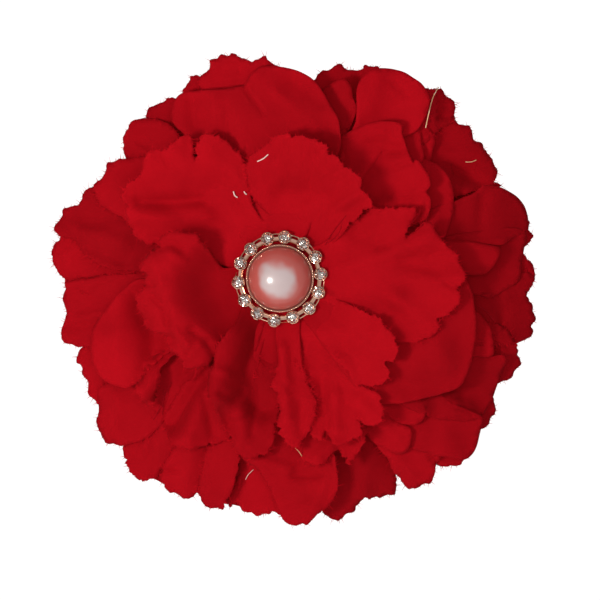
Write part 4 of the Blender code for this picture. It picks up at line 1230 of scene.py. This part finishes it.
def add_claw_cups():
    """A tapered cup with four claws bent over its crystal, for each CAD cup."""
    for number in range(1, CRYSTALS + 1):
        node = f"claw_cup_{number:02d}"
        low, high = (corner + set_by_hand(number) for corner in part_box(node))
        middle = (low + high) / 2
        girdle = low.y + GIRDLE_DEPTH * MM
        outwards = math.atan2(middle.z, middle.x)

        def place(radius, angle, depth):
            return Vector((middle.x + radius * MM * math.cos(angle), girdle - depth * MM,
                           middle.z + radius * MM * math.sin(angle)))

        shape = bmesh.new()
        rings = []
        for radius, depth in CUP_WALL:
            ring = [shape.verts.new(place(radius, math.tau * side / 20, depth)) for side in range(20)]
            rings.append(ring)
        add_skin(shape, rings + rings[:1])
        for claw in range(4):
            angle = outwards + math.tau * (claw + 0.5) / 4
            line = [place(radius, angle, depth) for radius, depth, _ in CLAW]
            add_tube(shape, line, [thickness * MM for _, _, thickness in CLAW], sides=6)
        bmesh.ops.recalc_face_normals(shape, faces=shape.faces)
        stands_for(finished(f"cup_{number:02d}", shape, PALE_GOLD), "pale_gold", node)


def add_crystals():
    """Round brilliants with a table, star, kite and girdle facets, one for each CAD crystal."""
    for number in range(1, CRYSTALS + 1):
        node = f"crystal_{number:02d}"
        low, high = (corner + set_by_hand(number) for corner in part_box(node))
        middle = (low + high) / 2
        shape = bmesh.new()
        for corners, offset, share, depth in FACET_RINGS:
            radius = share * CRYSTAL_RADIUS * MM
            for corner in range(corners):
                angle = math.tau * (corner + offset) / corners + number
                x = middle.x + radius * math.cos(angle)
                z = middle.z + radius * math.sin(angle)
                shape.verts.new((x, low.y + depth * MM, z))
        shape.verts.new((middle.x, high.y, middle.z))
        bmesh.ops.convex_hull(shape, input=shape.verts[:])
        bmesh.ops.dissolve_limit(shape, angle_limit=0.02, verts=shape.verts[:], edges=shape.edges[:])
        bmesh.ops.recalc_face_normals(shape, faces=shape.faces)
        stands_for(finished(f"brilliant_{number:02d}", shape, CRYSTAL, 3.0), "crystal", node)


def add_felt():
    """The felt disc: matted, with a soft, slightly ragged rim."""
    back, front = heights_of("felt_backing")
    radius = radius_of("felt_backing")
    middle = (back + front) / 2
    half = (front - back) / 2
    profile = [(radius * step / 24, front) for step in range(24)]
    for step in range(7):
        angle = math.radians(90 - 30 * step)
        profile.append((radius - half + half * math.cos(angle), middle + half * math.sin(angle)))
    profile += [(radius * step / 24, back) for step in range(23, -1, -1)]
    felt = turned("felt_disc", profile, 120, FELT)
    for vert in felt.data.vertices:
        place = vert.co / MM
        out = Vector((place.x, 0.0, place.z)).normalized()
        fuzz = noise.noise(place * 0.9) * 0.1 + noise.noise(place * 2.5) * 0.05
        vert.co.y += fuzz * MM
        vert.co += out * (fuzz * 2 * MM * smooth_step((place.length - radius + 3) / 3))
    stands_for(felt, "dark_felt", "felt_backing")


def add_sewing_thread():
    """The stitch through the felt and the shank's eye: two plies twisted round each other."""
    low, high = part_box("sewing_thread")
    inset = STITCH_INSET * MM
    near, far = low.y + inset, high.y - inset
    half = high.z - inset
    bend = STITCH_BEND * MM
    corners = (
        (half - bend, near + bend, 90),
        (half - bend, far - bend, 0),
        (bend - half, far - bend, -90),
        (bend - half, near + bend, -180),
    )
    route = []
    for z, y, first in corners:
        for step in range(7):
            angle = math.radians(first - 15 * step)
            route.append(Vector((0.0, y - bend * math.sin(angle), z + bend * math.cos(angle))))
    line = []
    for first, second in zip(route, route[1:] + route[:1]):
        pieces = max(1, round((second - first).length / (0.12 * MM)))
        line += [first.lerp(second, piece / pieces) for piece in range(pieces)]
    shape = bmesh.new()
    sideways = Vector((1.0, 0.0, 0.0))
    for ply in (0.0, math.pi):
        points = []
        for index, point in enumerate(line):
            ahead = (line[(index + 1) % len(line)] - line[index - 1]).normalized()
            beside = ahead.cross(sideways)
            angle = ply + math.tau * STITCH_TURNS * index / len(line)
            out = sideways * math.cos(angle) + beside * math.sin(angle)
            points.append(point + out * PLY_OFFSET * MM)
        add_tube(shape, points, [PLY_RADIUS * MM] * len(points), closed=True)
    stands_for(finished("twisted_stitch", shape, THREAD), "red_thread", "sewing_thread")


def add_loose_threads():
    """Thread ends that lie on the cloth, each as one bar along its line."""
    for number, (material, thickness, corners) in enumerate(LOOSE_THREADS, start=1):
        line = rounded([Vector((x, y)) for x, y, _ in corners], 0.4)
        points = []
        level = None
        for index, place in enumerate(line):
            share = index / (len(line) - 1) * (len(corners) - 1)
            first = min(int(share), len(corners) - 2)
            lift = corners[first][2] + (corners[first + 1][2] - corners[first][2]) * (share - first)
            top = cloth_stack.top(place)
            level = top if level is None else level + ((top or level) - level) * 0.35
            points.append(flower_point(place.x, place.y, level + lift))
        shape = bmesh.new()
        add_tube(shape, points, [thickness * MM] * len(points), sides=6)
        bmesh.ops.recalc_face_normals(shape, faces=shape.faces)
        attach(finished(f"loose_thread_{number:02d}", shape, material), "flower")


add_pearl()
add_bezel()
add_cup_ring()
add_claw_cups()
add_crystals()
add_felt()
add_sewing_thread()
add_loose_threads()


# ---------------------------------------------------------------- camera, lights and floor


def add_camera():
    camera = bpy.data.objects.new("camera", bpy.data.cameras.new("camera"))
    camera.data.sensor_width = SENSOR_WIDTH
    camera.data.lens = SENSOR_WIDTH / 2 / (FRAME_WIDTH / 2 / CAMERA_DISTANCE)
    camera.data.clip_start = 0.01
    camera.location = (VIEW_CENTRE[0], -CAMERA_DISTANCE - CAMERA_SETBACK, VIEW_CENTRE[1])
    camera.rotation_euler = (math.radians(90.0), 0.0, 0.0)
    bpy.context.scene.collection.objects.link(camera)
    bpy.context.scene.camera = camera


def add_light(name, azimuth, elevation, distance, size, power, colour=(1.0, 1.0, 1.0), mirrored=True):
    """A soft square light that faces the flower. Azimuth 0 is straight in front, positive to the right."""
    light = bpy.data.objects.new(name, bpy.data.lights.new(name, "AREA"))
    light.data.energy = power
    light.data.size = size
    light.data.color = colour
    aim = Vector((math.sin(math.radians(azimuth)), -math.cos(math.radians(azimuth)), 0.0))
    aim *= math.cos(math.radians(elevation))
    aim.z = math.sin(math.radians(elevation))
    light.location = aim * distance
    light.visible_glossy = mirrored
    light.rotation_euler = aim.to_track_quat("Z", "Y").to_euler()
    bpy.context.scene.collection.objects.link(light)


def add_floor():
    bpy.ops.mesh.primitive_circle_add(vertices=64, radius=0.45, fill_type="NGON", location=(0, 0.05, -0.16))
    floor = bpy.context.object
    floor.name = "floor"
    material, _, _ = material_with("pale_floor", (0.86, 0.86, 0.86), 0.9)
    floor.data.materials.append(material)


def add_backdrop():
    """A plain white studio all round, which only the camera sees, so the lights alone shape the cloth."""
    bpy.ops.mesh.primitive_uv_sphere_add(segments=32, ring_count=16, radius=4.0)
    backdrop = bpy.context.object
    backdrop.name = "backdrop"
    light = {"Emission Color": (1.0, 1.0, 1.0, 1.0), "Emission Strength": 1.05}
    material, _, _ = material_with("white_backdrop", (0.0, 0.0, 0.0), 0.5, more=light)
    backdrop.data.materials.append(material)
    for kind in ("diffuse", "glossy", "transmission", "volume_scatter", "shadow"):
        setattr(backdrop, f"visible_{kind}", False)


add_camera()
add_light("key", -26, -5, 0.36, 0.06, 0.76, (1.0, 0.96, 0.91))
add_light("camera_fill", 2, 3, 0.65, 0.3, 1.15, mirrored=False)
add_light("front_fill", 8, 12, 0.9, 1.1, 0.75)
add_light("back_fill", 160, 25, 0.9, 0.7, 5.0)
add_floor()
add_backdrop()
world = bpy.data.worlds.new("studio")
world.use_nodes = True
world.node_tree.nodes["Background"].inputs["Color"].default_value = (1.0, 1.0, 1.0, 1.0)
world.node_tree.nodes["Background"].inputs["Strength"].default_value = 0.31
bpy.context.scene.world = world
bpy.context.scene.view_settings.view_transform = "Standard"

bpy.context.view_layer.update()
